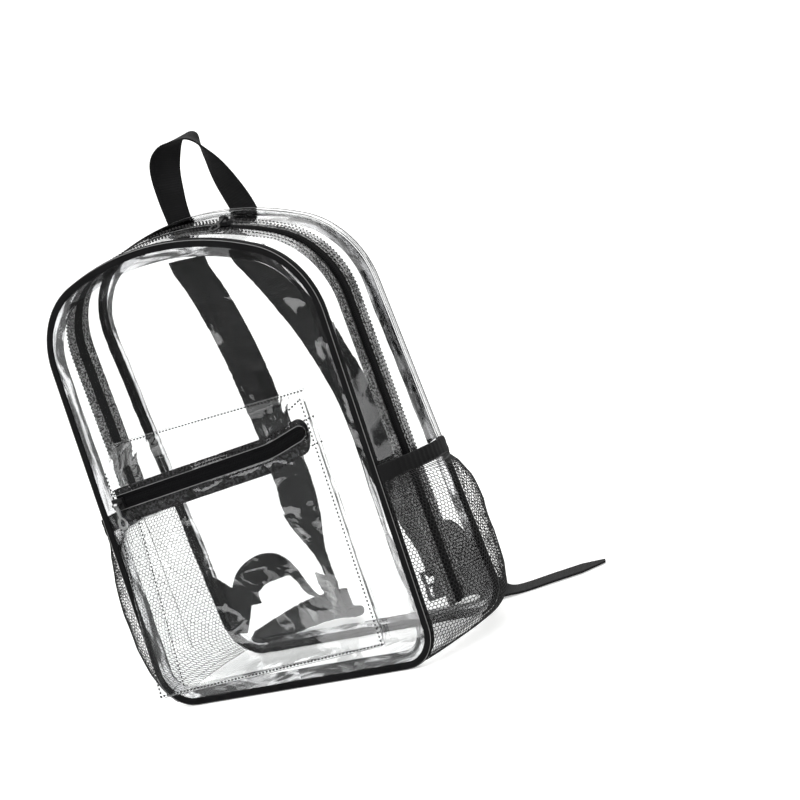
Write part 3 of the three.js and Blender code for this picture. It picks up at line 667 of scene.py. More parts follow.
def make_main_zip():
    rim = Rim()
    s = bag()
    first, last = rim.zip_ends()
    tape_inset, coil_inset, seam_inset, coil_width = 0.0036, 0.0024, 0.0012, 0.0066
    past_slot, from_edge = 0.0022, 0.0025

    def tape_place(u, v):
        share = lerp(first, last, v)
        x, z, _ = rim.at(share, tape_inset)
        return Vector((x, lerp(-s.zip_tape / 2, s.zip_tape / 2, u), z))

    tape = zip_tape("zip_tape_main", tape_place, 150, (s.zip_tape, rim.half * 2), "main_zip_tape")
    # The tape under the clear sheets gets light flecks: partly speckle, partly painted sheen of the sheet
    # over it.
    finish_where(tape, "Speckled Tape", lambda spot: abs(spot.y) > s.zip_slot / 2)

    def line(off, inset):
        """Line along the zip, off its middle and inset from the outline."""
        places = [rim.at(share, inset) for share in spread(first, last, 300)]
        return [Vector((x, off, z)) for x, z, _ in places]

    def out(share):
        return rim.out(lerp(first, last, share))

    zip_teeth("zip_teeth_main", line(0, coil_inset), out, -FRONT, coil_width, "main_zip_chain")
    offs = (s.zip_slot / 2 + past_slot, s.zip_tape / 2 - from_edge)
    stitched("stitches_main_zip", [(line(side * off, seam_inset), out) for side in (-1, 1) for off in offs])


# Front pocket. across runs from its left to its right side, rise from its bottom to its fold.

POCKET_FLARE = [(0, 1), (0.2, 0.86), (0.45, 0.62), (0.84, 0), (1, 0)]


class Pocket:
    """Lines of the front pocket, in metres."""

    bottom = (0.017, 0.024)
    fold = (0.212, 0.236)
    top = (0.228, 0.241)
    depth = (0.023, 0.007)
    zip_height = (0.184, 0.203)
    seam_flare = 0.015
    face_flare = 0.02
    face_inset = 0.003
    zip_turn_up = 0.007
    slot_closing = (0.925, 0.041)
    sheet_behind = 0.0006

    def __init__(self):
        self.right = pocket().right
        self.left = self.right - pocket().width

    def z(self, across, rise):
        return lerp(lerp(*self.bottom, across), lerp(*self.fold, across), rise)

    def rise(self, across, z):
        low = lerp(*self.bottom, across)
        return (z - low) / (lerp(*self.fold, across) - low)

    def seam_x(self, across, rise):
        return lerp(self.left - self.seam_flare * (1 - rise), self.right, across)

    def face_x(self, across, rise):
        flare = self.face_flare * read_table(POCKET_FLARE, rise)
        return lerp(self.left - self.face_inset - flare, self.right, across)

    def face_y(self, across, z):
        return panel_y(z, -1) - lerp(*self.depth, across)

    def zip_z(self, across):
        """Middle of the zip, which turns up towards its right end."""
        return lerp(*self.zip_height, across) + self.zip_turn_up * smoothstep(across, 0.74, 1.0)

    def half_slot(self, across):
        """Half the gap between the clear sheets along the zip, which closes at the right end."""
        start, run = self.slot_closing
        closing = max(across - start, 0) / run
        return pocket().zip_slot / 2 * math.sqrt(max(1 - closing ** 2, 0.004))

    def face(self, across, z, behind=0.0):
        """Point of the pocket's face at a height; behind is the distance back from its outer skin."""
        return Vector((self.face_x(across, self.rise(across, z)), self.face_y(across, z) + behind, z))


def make_pocket():
    p = Pocket()

    def face_place(u, v):
        top = p.zip_z(u) - p.half_slot(u)
        z = lerp(p.z(u, 0), top, v)
        spot = p.face(u, z, p.sheet_behind)
        edge = min(1, 5 * u, 5 * (1 - u), v * 6, (1 - v) * 8)
        slow = wave(spot.x, 0, z, 0.07, 4.4) + 0.5 * wave(spot.x, 0, z, 0.03, 2.2)
        spot.y -= edge * bag().ripple * slow
        return spot

    vinyl_sheet("vinyl_pocket_face", face_place, 48, 44, (0.2, 0.16), ["pocket_face"])

    turn, turn_reach, turn_round, slight, deep = 0.62, 0.14, 0.0012, 0.0008, 0.003

    def top_place(u, v):
        low = p.zip_z(u) + p.half_slot(u)
        fold = lerp(*p.fold, u)
        seam = lerp(*p.top, u)
        front = p.face(u, low, p.sheet_behind)
        bend = p.face(u, fold, p.sheet_behind)
        back = Vector((p.seam_x(u, 1), panel_y(seam, -1) - POCKET_SEAM, seam))
        if v < turn:
            share = v / turn
            spot = front.lerp(bend, share)
        else:
            share = (v - turn) / (1 - turn)
            spot = bend.lerp(back, share)
        ease = max(0, 1 - abs(v - turn) / turn_reach)
        spot = spot + Vector((0, turn_round, -turn_round)) * ease ** 2
        corner = (1 - smoothstep(u, 0.02, 0.3)) + smoothstep(u, 0.68, 0.96)
        held = min(1, 6 * v) * min(1, 6 * (1 - v))
        crease = slight * wave(spot.x, spot.y, spot.z, 0.04, 9)
        crease += deep * corner * held * wave(spot.x * 1.6, spot.y, spot.z * 0.6, 0.012, 2)
        return spot + Vector((0, -crease, 0.5 * crease))

    vinyl_sheet("vinyl_pocket_top", top_place, 110, 28, (0.2, 0.06), ["pocket_top"])

    stops = [(0.0, rise) for rise in spread(0.98, 0.04, 26)]
    stops += [(across, 0.0) for across in spread(0.02, 0.98, 40)]
    stops += [(1.0, rise) for rise in spread(0.04, 0.98, 26)]

    def gusset_place(u, v):
        across, rise = stops[round(v * (len(stops) - 1))]
        z = p.z(across, rise)
        back = Vector((p.seam_x(across, rise), panel_y(z, -1) - POCKET_SEAM, z))
        front = Vector((p.face_x(across, rise), p.face_y(across, z) + 0.0012, z))
        spot = back.lerp(front, u)
        dent = 0.0016 * math.sin(math.pi * u) * (0.5 + wave(spot.x, 0, z, 0.03, 7))
        return spot + Vector((dent if across < 0.5 else -dent, 0, dent if rise == 0 else 0))

    vinyl_sheet("vinyl_pocket_gusset", gusset_place, 8, len(stops) - 1, (0.023, 0.6), ["pocket_gusset"])


def make_pocket_zip():
    p = Pocket()
    margin, far_margin = 0.016, 0.024
    tape_low, tape_high = 0.0175, 0.0115
    tape_behind, coil_behind, highlight_behind, coil_width = 0.0019, 0.0008, 0.0004, 0.0052

    def tape_place(u, v):
        across = lerp(margin, 1 - far_margin, v)
        rounding = math.sqrt(max(1 - (max(v - 0.95, 0) / 0.05) ** 2, 0.08))
        return p.face(across, p.zip_z(across) + lerp(-tape_low, tape_high, u) * rounding, tape_behind)

    size = (tape_low + tape_high, 0.2)
    tape = zip_tape("zip_tape_pocket", tape_place, 120, size, "pocket_zip_tape")

    def outside_slot(spot):
        across = (spot.x - p.left) / (p.right - p.left)
        return abs(spot.z - p.zip_z(across)) > pocket().zip_slot / 2

    # The tape under the clear sheets gets light flecks: partly speckle, partly painted sheen of the sheet
    # over it.
    finish_where(tape, "Mottled Tape", outside_slot)
    coil = [p.face(a, p.zip_z(a), coil_behind) for a in spread(margin, 0.955, 60)]
    zip_teeth("zip_teeth_pocket", coil, lambda t: FRONT, UP, coil_width, "pocket_zip_chain")

    # Light grey tubes along both edges of the zip slot: painted highlight lines.
    for label, side in (("upper", 1), ("lower", -1)):

        def highlight_place(angle, v):
            across = lerp(0.006, 0.966, 1 - (1 - v) ** 2)
            spot = p.face(across, p.zip_z(across) + side * p.half_slot(across), highlight_behind)
            return spot + Vector((0, HIGHLIGHT_LIP_RADIUS * math.cos(angle), 0.00035 * math.sin(angle)))

        painted_highlight_lip(f"vinyl_lip_pocket_{label}", highlight_place, 60, 0.2)
    make_pocket_seams(p, tape_low - 0.0015, tape_high - 0.001)


def make_pocket_seams(p, low, high):
    """Rows of stitches. low and high are how far the tape's outer rows lie from the zip's middle."""
    proud, corner_proud, margin, inside = -0.0004, -0.0006, 0.0018, 0.002

    def beside_zip(off, last):
        return [p.face(a, p.zip_z(a) + off(a), proud) for a in spread(0.01, last, 60)]

    def past_slot(across):
        return p.half_slot(across) + margin

    lines = [
        beside_zip(lambda a: -past_slot(a), 0.97), beside_zip(past_slot, 0.97),
        beside_zip(lambda a: high, 0.95), beside_zip(lambda a: -low, 0.95),
    ]
    for rise in (0.815, 0.915):
        cross = p.face(1, p.z(1, rise), corner_proud)
        lines.append([cross + Vector((-0.006, 0, -0.001)), cross + Vector((0.007, 0, 0.0015))])
    corner = p.face(1, p.z(1, 1), corner_proud)
    lines.append([corner + Vector((-0.024, 0, -0.012)), corner + Vector((-0.003, 0, -0.002))])
    left, left_face, right = [], [], []
    for rise in spread(1, 0, 30):
        z_left, z_right = p.z(0, rise), p.z(1, rise)
        left.append(Vector((p.seam_x(0, rise) + inside, panel_y(z_left, -1) + proud, z_left)))
        left_face.append(p.face(0, z_left, proud) + Vector((0.0022, 0, 0)))
        right.append(Vector((p.right - inside, p.face_y(1, z_right) + corner_proud, z_right)))
    base, top = [], []
    for across in spread(0, 1, 40):
        seam = lerp(*p.top, across)
        base.append(p.face(across, p.z(across, 0), proud) + Vector((0, 0, 0.0022)))
        top.append(Vector((p.seam_x(across, 1), panel_y(seam, -1) - 0.0027, seam - 0.001)))
    lines += [left, left_face, right, base, top]
    stitched("stitches_pocket", [(line, lambda t: FRONT) for line in lines])


# Net side pockets

NET_BULGE = [
    (0, 0.16), (0.05, 0.48), (0.14, 0.76), (0.3, 0.95), (0.5, 1), (0.7, 0.87), (0.85, 0.63), (0.94, 0.38),
    (1, 0.2),
]
BELLY_POWER = 2.6
HEM_SECTION = [
    (0, 0), (0.0012, 0.0004), (0.0016, 0.25), (0.0013, 0.5), (0.0017, 0.75), (0.0013, 0.97), (0, 1),
    (-0.0001, 0.75), (0, 0.5), (-0.0001, 0.25),
]


def side_point(side, across, z, bulge, off):
    """Point of a side pocket between the front and rear bindings."""
    from_seam, proud = 0.0009, 0.0008
    reach = half_depth(z) - from_seam
    belly = 1 - abs(2 * across - 1) ** BELLY_POWER
    x = half_width(z) + proud + off + bulge * belly
    return Vector((side * x, lerp(-reach, reach, across), z))


def even_across(bulge, depth, steps=60):
    """Shares of a side pocket's depth that lie at equal lengths along its belly, and that belly's length."""
    points = [
        Vector((bulge * (1 - abs(2 * a - 1) ** BELLY_POWER), depth * a, 0)) for a in spread(0, 1, steps)
    ]
    lengths = path_lengths(points)
    table = [(run / lengths[-1], i / steps) for i, run in enumerate(lengths)]
    return lambda share: read_table(table, share), lengths[-1]


def net_strands(name, place, size, cell, thread):
    """Hexagonal net laid by place(across, up)."""
    width, height = size
    step_up = cell * math.sqrt(3) / 2
    ends = []

    def spot(s, t):
        return place(min(max(s / width, 0), 1), min(max(t / height, 0), 1))

    def strand(s0, t0, s1, t1):
        first, last = spot(s0, t0), spot(s1, t1)
        if (last - first).length > cell * 0.15:
            a = spot(s0 + 0.001, t0)
            b = spot(s0 - 0.001, t0)
            c = spot(s0, t0 + 0.001)
            d = spot(s0, t0 - 0.001)
            normal = (a - b).cross(c - d).normalized()
            ends.append((first, last, normal))

    rise = cell / math.sqrt(3)
    for row in range(int(height / step_up) + 1):
        for column in range(-1, int(width / cell) + 1):
            s = (column + 0.5 * (row % 2)) * cell
            t = row * step_up
            mid_s, low, high = s + cell / 2, t - rise / 4, t + rise / 4
            strand(s, high, mid_s, low)
            strand(mid_s, low, s + cell, high)
            strand(s + cell, high, s + cell, t + step_up - rise / 4)
    return strand_mesh(name, ends, thread)


def make_net(label, side):
    sizes = pocket()
    foot, under_hem, fullness, slow_wave = 0.005, 0.002, 0.013, 0.0028
    belly, belly_length = even_across(sizes.net_bulge, 0.11)
    thread = sizes.net_thread * (1 if side > 0 else 0.75)

    def place(across, v):
        u = belly(across)
        top = lerp(sizes.hem_front, sizes.hem_rear, u) - sizes.hem_height + under_hem
        z = lerp(foot, top, v)
        bulge = sizes.net_bulge * read_table(NET_BULGE, v)
        slack = min(1, 6 * u * (1 - u) * 3) * min(1, 8 * v)
        full = fullness * smoothstep(v, 0.45, 0.85) * (1 - smoothstep(v, 0.94, 1))
        sway = slow_wave * wave(u * 0.2, side, z, 0.035) + full * smoothstep(u, 0.25, 0.75)
        return side_point(side, u, z, bulge + sway * slack, 0.0005)

    net = net_strands(f"net_{label}", place, (belly_length, 0.16), sizes.net_cell, thread)
    turn_out(net)
    settle(net, "Net Strands", replaced=[f"net_pocket_{label}"], smooth=80)


def make_hem(label, side):
    """Elastic hem along a net's mouth, closed at both ends."""
    sizes = pocket()
    stand_off, gather_height, gathers = 0.007, 0.0002, 95
    count = len(HEM_SECTION)

    def place(u, v):
        off, share = HEM_SECTION[round(u * count) % count]
        z = lerp(sizes.hem_front, sizes.hem_rear, v) - sizes.hem_height * (1 - share)
        gather = gather_height * math.sin(v * gathers) * min(1, 8 * v, 8 * (1 - v))
        return side_point(side, v, z, stand_off + gather, off)

    hem = grid(f"hem_{label}", place, count, 80, (0.03, 0.13), closed=True)
    edit(hem)
    bpy.ops.mesh.select_all(action="DESELECT")
    bpy.ops.mesh.select_non_manifold()
    bpy.ops.mesh.edge_face_add()
    bpy.ops.mesh.select_all(action="SELECT")
    bpy.ops.mesh.normals_make_consistent(inside=False)
    leave_edit()
    settle(hem, "Elastic Hem", replaced=[f"net_hem_{label}"], smooth=60)


def make_nets():
    for label, side in SIDES:
        make_net(label, side)
        make_hem(label, side)


# Handle, straps and their hardware

def make_handle():
    s = bag()
    sizes = strap_sizes()
    rise, span, shift, anchor = 0.071, 0.066, 0.006, 0.016
    table = [
        (-0.5, -1), (-0.5, 0), (-0.49, 0.35), (-0.4, 0.75), (-0.16, 0.97), (0.1, 0.98), (0.26, 0.72),
        (0.38, 0.4), (0.5, 0), (0.5, -1),
    ]
    foot = s.height - s.binding
    points = []
    for across, up in table:
        z = foot + (up * anchor if up < 0 else up * rise)
        y = half_depth(min(z, s.height)) + SEAM_GAP + sizes.webbing_wall / 2
        points.append((shift + across * span, y, z))
    path = smooth_path(points, 108)
    sides = []
    for i in range(len(path)):
        turn = math.pi * smoothstep(i / (len(path) - 1), 0.12, 0.88)
        sides.append(Vector((math.cos(turn), math.sin(turn), 0)))
    ribbon("handle_webbing", path, sides, [sizes.webbing] * len(path), sizes.webbing_wall, "Woven Webbing",
           replaced=["top_handle"], columns=8)


class Buckle:
    """Ladder lock of one side, with its own directions. side is -1 on the left and 1 on the right."""

    turn = 0.66
    bar = 0.0034
    slot = 0.008
    side_gap = 0.002
    outer_wall, middle_wall, post_wall = 0.0036, 0.003, 0.0042
    bar_bevel, post_bevel = 0.0011, 0.0012

    def __init__(self, side):
        self.side = side
        self.centre = Vector((side * (0.064 if side > 0 else 0.05), 0.089, 0.024))
        self.across = Vector((-side * math.cos(self.turn), -math.sin(self.turn), 0))
        self.face = Vector((-side * math.sin(self.turn), math.cos(self.turn), 0))
        self.pitch = self.bar + self.slot
        self.half_width = strap_sizes().webbing / 2 + self.side_gap + self.bar
        self.half_height = (3 * self.bar + 2 * self.slot) / 2

    def point(self, sideways, off, up):
        return self.centre + self.across * sideways + self.face * off + Vector((0, 0, up))


def bar_piece(x, z, length_x, thick, height, bevel):
    """Rounded bar round a place in the ladder lock's own plane."""
    bpy.ops.object.select_all(action="DESELECT")
    bpy.ops.mesh.primitive_cube_add(size=1)
    piece = bpy.context.object
    piece.scale = (length_x, thick, height)
    bpy.ops.object.transform_apply(location=False, rotation=False, scale=True)
    modify(piece, "BEVEL", width=bevel, segments=3, limit_method="ANGLE")
    piece.location = (x, 0, z)
    return piece


def make_buckles():
    for label, side in SIDES:
        b = Buckle(side)
        wide = b.half_width
        bars = []
        for up, thick in ((-b.pitch, b.outer_wall), (0, b.middle_wall), (b.pitch, b.outer_wall)):
            bars.append(bar_piece(0, up, (wide - MM) * 2, thick, b.bar, b.bar_bevel))
        for edge in (-1, 1):
            x = edge * (wide - b.bar / 2)
            bars.append(bar_piece(x, 0, b.bar, b.post_wall, b.half_height * 2, b.post_bevel))
        lock = joined(f"ladder_lock_body_{label}", bars)
        lock.data.transform(Matrix.Translation(b.centre) @ Matrix.Rotation(side * b.turn, 4, "Z"))
        settle(lock, "Moulded Plastic", replaced=[f"ladder_lock_{label}"])


def make_shoulder_straps():
    s = bag()
    sizes = strap_sizes()
    drop_table = [
        (0, 0, 0), (0.03, 0, 0.02), (0.12, 0.1, 0.35), (0.3, 0.35, 0.8), (0.5, 0.55, 1), (0.7, 0.6, 1),
        (0.85, 0.85, 0.97),
    ]
    end_length, bow, twist_top, wall = 0.014, 0.034, 0.112, sizes.shoulder_wall
    below_crown, top_apart, right_closer, sunk = 0.034, 0.034, 0.006, 0.0015
    for label, side in SIDES:
        b = Buckle(side)
        loop = b.bar * math.sqrt(0.5) + SEAM_GAP + wall / 2
        foot = b.centre.z + b.pitch + end_length
        top_x = top_apart - (right_closer if side > 0 else 0)
        points = []
        for drop, out, bowed in drop_table:
            z = lerp(s.height - below_crown, foot, drop)
            x = side * lerp(top_x, abs(b.centre.x), out)
            rear = half_depth(z) - sunk
            points.append(Vector((x, rear + SEAM_GAP + wall / 2 + bowed * bow, z)))
        loop_table = [
            (1, end_length), (1, 0.001), (0.7, -0.72 * loop), (0, -loop), (-0.7, -0.72 * loop), (-1, 0.001),
            (-1, end_length),
        ]
        points += [b.point(0, off * loop, b.pitch + up) for off, up in loop_table]
        path = smooth_path(points, 156)
        turned = b.across * -side
        sides = []
        widths = []
        for point in path:
            share = smoothstep(twist_top - point.z, 0, twist_top - foot)
            sides.append(Vector((1, 0, 0)).lerp(turned, share).normalized())
            widths.append(lerp(sizes.shoulder, sizes.webbing, share))
        ribbon(f"strap_webbing_{label}", path, sides, widths, wall, "Woven Webbing",
               replaced=[f"shoulder_strap_{label}"], columns=10)


# Course of the lower webbing. Each row holds a place and the direction of the band's width.
# The tails and the threading are in millimetres from the ladder lock's lower slot; the arch is in shares
# of the way from the tab to that slot, and of its own rise.

LEFT_TAIL = [
    (2, 18, 13.4, -0.3, 0.3, 0.9), (-14, 22, 13.2, 0, 0, 1), (-36, 14, 12.6, 0, -0.3, 0.95),
    (-54, -1, 11, 0, -0.6, 0.8), (-70, -13, 9, 0, -0.8, 0.6), (-80, -20, 8, 0, -0.85, 0.5),
]
RIGHT_TAIL = [
    (-2, 18, 13.4, 0.3, 0.3, 0.9), (12, 20, 13.2, 0, 0, 1), (26, 12, 9.5, -0.3, 0.5, 0.8),
    (40, 9, 4.6, -0.45, 0.85, 0.3), (56, 13, 1.3, -0.5, 0.87, 0), (88, 29, 1.3, -0.5, 0.87, 0),
    (124, 49, 1.3, -0.5, 0.87, 0),
]
ARCH = [
    (0, 0, -0.5, 1, 0, 0), (0, 0, 0, 1, 0, 0), (0.02, 0.1, 0.42, 0.88, 0, -0.48),
    (0.1, 0.27, 0.78, 0.45, 0, -0.9), (0.26, 0.42, 1, 0.05, 0, -1), (0.42, 0.56, 0.94, -0.4, 0.1, -0.9),
    (0.57, 0.7, 0.6, -0.55, 0.5, -0.6), (0.66, 0.76, 0, -0.65, 0.6, -0.4),
    (0.73, 0.8, -0.7, -0.75, 0.6, -0.2),
]
THREADING = [(-5, -8, 10), (-1.5, -4.5, 4.4), (0, 0, 0), (0, 4.5, -3), (0, 9, -4.4)]


def make_anchor_tabs():
    table = [(0, 1), (0.46, 0.74), (1, 0.62), (0.76, 0.34), (0.43, 0), (0.02, 0.05)]
    edge = bag().width / 2 - 0.0009
    for label, side in SIDES:
        corners = [(side * (edge - r * TAB_REACH), TAB_FOOT + up * TAB_HEIGHT) for r, up in table]
        points = [Vector((x, half_depth(z) + SEAM_GAP + TAB_WALL / 2, z)) for x, z in corners]
        tab = built(f"anchor_cloth_{label}", points, [tuple(range(len(points)))])
        tab.data.uv_layers.new(name="UVMap")
        for loop in tab.data.loops:
            spot = tab.data.vertices[loop.vertex_index].co
            tab.data.uv_layers.active.data[loop.index].uv = (spot.x, spot.z)
        modify(tab, "SOLIDIFY", thickness=TAB_WALL, offset=0)
        modify(tab, "BEVEL", width=TAB_WALL * 0.35, segments=2, limit_method="ANGLE")
        turn_out(tab)
        settle(tab, "Woven Webbing", replaced=[f"anchor_tab_{label}"])


def make_lower_webbing():
    sizes = strap_sizes()
    seat, rise, steps = 0.0007, 0.017, 252
    start_z = TAB_FOOT + TAB_HEIGHT * 0.55
    start_y = half_depth(start_z) + SEAM_GAP + TAB_WALL + seat + sizes.webbing_wall / 2
    for label, side, tail in (("left", -1, LEFT_TAIL), ("right", 1, RIGHT_TAIL)):
        b = Buckle(side)
        slot = b.point(0, 0, -b.pitch / 2)
        start = Vector((side * (bag().width / 2 - TAB_REACH * 0.76), start_y, start_z))
        rows = []
        for along, off, up, x, y, z in ARCH:
            spot = (lerp(start.x, slot.x, along), lerp(start.y, slot.y, off), start.z + up * rise)
            rows.append((spot, Vector((-side * x, y, z))))
        for sideways, off, up in THREADING:
            rows.append((b.point(sideways * MM, off * MM, up * MM - b.pitch / 2), b.across * -1))
        for x, y, z, ax, ay, az in tail:
            rows.append(((slot.x + x * MM, slot.y + y * MM, z * MM), Vector((ax, ay, az))))
        path = smooth_path([row[0] for row in rows], steps)
        sides = smooth_path([row[1].normalized() for row in rows], steps)
        widths = [sizes.webbing * min(1, 0.3 + 0.35 * (steps - i) / 3) for i in range(steps + 1)]
        ribbon(f"webbing_lower_{label}", path, sides, widths, sizes.webbing_wall, "Woven Webbing",
               replaced=[f"lower_webbing_{label}"], columns=8)


def make_hardware():
    """Sliders and pulls are the CAD nodes, with their own finishes."""
    for node, finish in (
        ("pocket_slider", "Moulded Plastic"), ("main_slider", "Moulded Plastic"),
        ("pocket_pull", "Brushed Metal"), ("main_pull", "Moulded Plastic"),
    ):
        mesh = bpy.data.objects[node].data
        mesh.materials.clear()
        mesh.materials.append(bpy.data.materials[finish])


# Finishes

class Graph:
    """Node tree with a short way to add nodes."""

    def __init__(self, tree):
        self.nodes = tree.nodes
        self.links = tree.links

    def feed(self, node, inputs):
        """Inputs of a node, each set to a plain value or joined to another node's socket."""
        for key, value in inputs.items():
            if isinstance(value, bpy.types.NodeSocket):
                self.links.new(value, node.inputs[key])
            else:
                node.inputs[key].default_value = value

    def add(self, kind, inputs=None, **settings):
        made = self.nodes.new(kind)
        for key, value in settings.items():
            setattr(made, key, value)
        self.feed(made, inputs or {})
        return made

    def sum(self, operation, *values):
        """Result of one step of arithmetic."""
        return self.add("ShaderNodeMath", dict(enumerate(values)), operation=operation).outputs[0]

    def ramp(self, value, low, high, bottom=0.0, top=1.0, shape="SMOOTHSTEP"):
        """Value that goes from bottom to top while another goes from low to high."""
        inputs = {"Value": value, "From Min": low, "From Max": high, "To Min": bottom, "To Max": top}
        return self.add("ShaderNodeMapRange", inputs, interpolation_type=shape).outputs[0]

    def strip(self, value, low, high, soft, bright=1.0):
        """Value that is bright between low and high and 0 outside, with soft ends."""
        start = self.ramp(value, low, low + soft, 0.0, bright)
        return self.sum("MULTIPLY", start, self.ramp(value, high - soft, high, 1.0, 0.0))

    def cloud(self, vector, scale, detail, distortion=0.0):
        inputs = {"Vector": vector, "Scale": scale, "Detail": detail, "Distortion": distortion}
        return self.add("ShaderNodeTexNoise", inputs).outputs["Fac"]

    def place(self, kind="Object"):
        return self.add("ShaderNodeTexCoord").outputs[kind]

    def axes(self, vector):
        return self.add("ShaderNodeSeparateXYZ", {0: vector}).outputs

    def effect(self, name, **inputs):
        """Shared effect, placed with its own values."""
        return self.add("ShaderNodeGroup", inputs, node_tree=bpy.data.node_groups[name])


class Finish(Graph):
    """Material round its Principled shader."""

    def __init__(self, name, **inputs):
        self.material = bpy.data.materials.new(name)
        self.material.use_nodes = True
        super().__init__(self.material.node_tree)
        self.shader = self.nodes["Principled BSDF"]
        self.set(**inputs)

    def set(self, **inputs):
        """Inputs of the shader, with underscores for the spaces in their names."""
        self.feed(self.shader, {key.replace("_", " "): value for key, value in inputs.items()})

    def colour(self, mask, dark, light):
        """Base colour between two tints."""
        inputs = {0: mask, 6: (*dark, 1), 7: (*light, 1)}
        self.set(Base_Color=self.add("ShaderNodeMix", inputs, data_type="RGBA").outputs[2])

    def bump(self, height, strength, distance):
        inputs = {"Strength": strength, "Distance": distance, "Height": height}
        self.set(Normal=self.add("ShaderNodeBump", inputs).outputs["Normal"])

    def show_where(self, chosen, plain, other):
        """Surface that is plain where chosen is 0 and other where it is 1."""
        mix = self.add("ShaderNodeMixShader", {0: chosen, 1: plain.outputs[0], 2: other.outputs[0]})
        self.feed(self.nodes["Material Output"], {"Surface": mix.outputs[0]})


def new_effect(name, sockets):
    """Empty shared effect: its graph and both ends. sockets holds (way, name, kind, default) of each."""
    tree = bpy.data.node_groups.new(name, "ShaderNodeTree")
    for way, label, kind, default in sockets:
        made = tree.interface.new_socket(name=label, in_out=way, socket_type=kind)
        if default is not None:
            made.default_value = default
    graph = Graph(tree)
    return graph, graph.add("NodeGroupInput"), graph.add("NodeGroupOutput")


def weave_effect():
    """Woven ribs across and along a band: colour mask and height from a vector in metres."""
    graph, start, end = new_effect("Weave", [
        ("INPUT", "Vector", "NodeSocketVector", None),
        ("INPUT", "Rib Pitch", "NodeSocketFloat", 0.0012),
        ("INPUT", "Yarn Pitch", "NodeSocketFloat", 0.0006),
        ("OUTPUT", "Height", "NodeSocketFloat", None),
        ("OUTPUT", "Mask", "NodeSocketFloat", None),
    ])
    axes = graph.axes(start.outputs["Vector"])

    def sine(axis, pitch):
        turns = graph.sum("DIVIDE", axes[axis], start.outputs[pitch])
        return graph.sum("SINE", graph.sum("MULTIPLY", turns, math.tau))

    ribs = sine("Y", "Rib Pitch")
    crossed = graph.sum("MULTIPLY", ribs, sine("X", "Yarn Pitch"))
    height = graph.ramp(graph.sum("MULTIPLY_ADD", ribs, 0.6, crossed), -1.6, 1.6, shape="LINEAR")
    graph.feed(end, {"Height": height, "Mask": height})


def wear_effect():
    """Slow variation over a surface: a mask from Object coordinates."""
    graph, start, end = new_effect("Wear", [
        ("INPUT", "Size", "NodeSocketFloat", 60),
        ("OUTPUT", "Mask", "NodeSocketFloat", None),
    ])
    graph.feed(end, {"Mask": graph.cloud(graph.place(), start.outputs["Size"], 4)})


def ripple_effect():
    """Height of the small waves in a sheet of vinyl, from Object coordinates."""
    graph, start, end = new_effect("Vinyl Ripples", [
        ("INPUT", "Broad", "NodeSocketFloat", 14),
        ("INPUT", "Fine", "NodeSocketFloat", 60),
        ("OUTPUT", "Height", "NodeSocketFloat", None),
    ])
    broad, fine = [graph.cloud(graph.place(), start.outputs[name], 1, 0.6) for name in ("Broad", "Fine")]
    graph.feed(end, {"Height": graph.sum("MULTIPLY_ADD", fine, 0.12, broad)})


def scaled(tint, factor):
    return [min(value * factor, 1) for value in tint]


def woven_finish(name, tint, rib, yarn, roughness, gloss=0.18):
    """Woven cloth that follows its piece's own map."""
    finish = Finish(name, Roughness=roughness, Specular_IOR_Level=gloss)
    vector = finish.add("ShaderNodeUVMap").outputs["UV"]
    weave = finish.effect("Weave", **{"Vector": vector, "Rib Pitch": rib, "Yarn Pitch": yarn})
    wear = finish.effect("Wear", Size=45)
    mask = finish.sum("MULTIPLY", weave.outputs["Mask"], wear.outputs["Mask"])
    finish.colour(mask, scaled(tint, 0.4), scaled(tint, 2.6))
    finish.bump(weave.outputs["Height"], 0.6, 0.0003)


def solid_finish(name, tint, roughness, metallic=0.0, grain=900, gloss=0.5):
    """Moulded or drawn material with a fine grain."""
    finish = Finish(name, Metallic=metallic, Roughness=roughness, Specular_IOR_Level=gloss)
    wear = finish.effect("Wear", Size=grain).outputs["Mask"]
    finish.colour(wear, scaled(tint, 0.8), scaled(tint, 1.6))
    finish.bump(wear, 0.08, 0.0002)
    return finish


def vinyl_finish(name, tint, rippled):
    """Clear sheet: glass for the eye, see-through for the lamps."""
    finish = Finish(name, Base_Color=(*tint, 1), Transmission_Weight=1, Roughness=0.02, IOR=1.45)
    finish.bump(finish.effect("Vinyl Ripples", Broad=16, Fine=70).outputs["Height"], rippled, 0.004)
    clear = finish.add("ShaderNodeBsdfTransparent", {"Color": (0.97, 0.97, 0.97, 1)})
    rays = finish.add("ShaderNodeLightPath")
    finish.show_where(rays.outputs["Is Shadow Ray"], finish.shader, clear)
    return finish


def painted_reflection_finish(name, tint, rippled, dark, light):
    """Clear sheet with long smoky streaks that run along a seam, from the piece's own map."""
    finish = vinyl_finish(name, tint, rippled)
    along = finish.add("ShaderNodeUVMap").outputs["UV"]
    stretched = finish.add("ShaderNodeMapping", {"Scale": (130, 17, 1), "Vector": along}).outputs[0]
    streaks = finish.ramp(finish.cloud(stretched, 1, 3, 1.4), 0.44, 0.58, shape="LINEAR")
    finish.colour(streaks, scaled(tint, dark), scaled(tint, light))


def speckle_and_sheen_finish(name, dark, light, grain):
    """Worn tape under a sheet: dark cloth with light flecks."""
    finish = Finish(name, Roughness=0.7, Specular_IOR_Level=0.1)
    flecks = finish.cloud(finish.place(), grain, 2)
    finish.colour(finish.ramp(flecks, 0.45, 0.62), dark, light)
    finish.bump(flecks, 0.4, 0.0003)


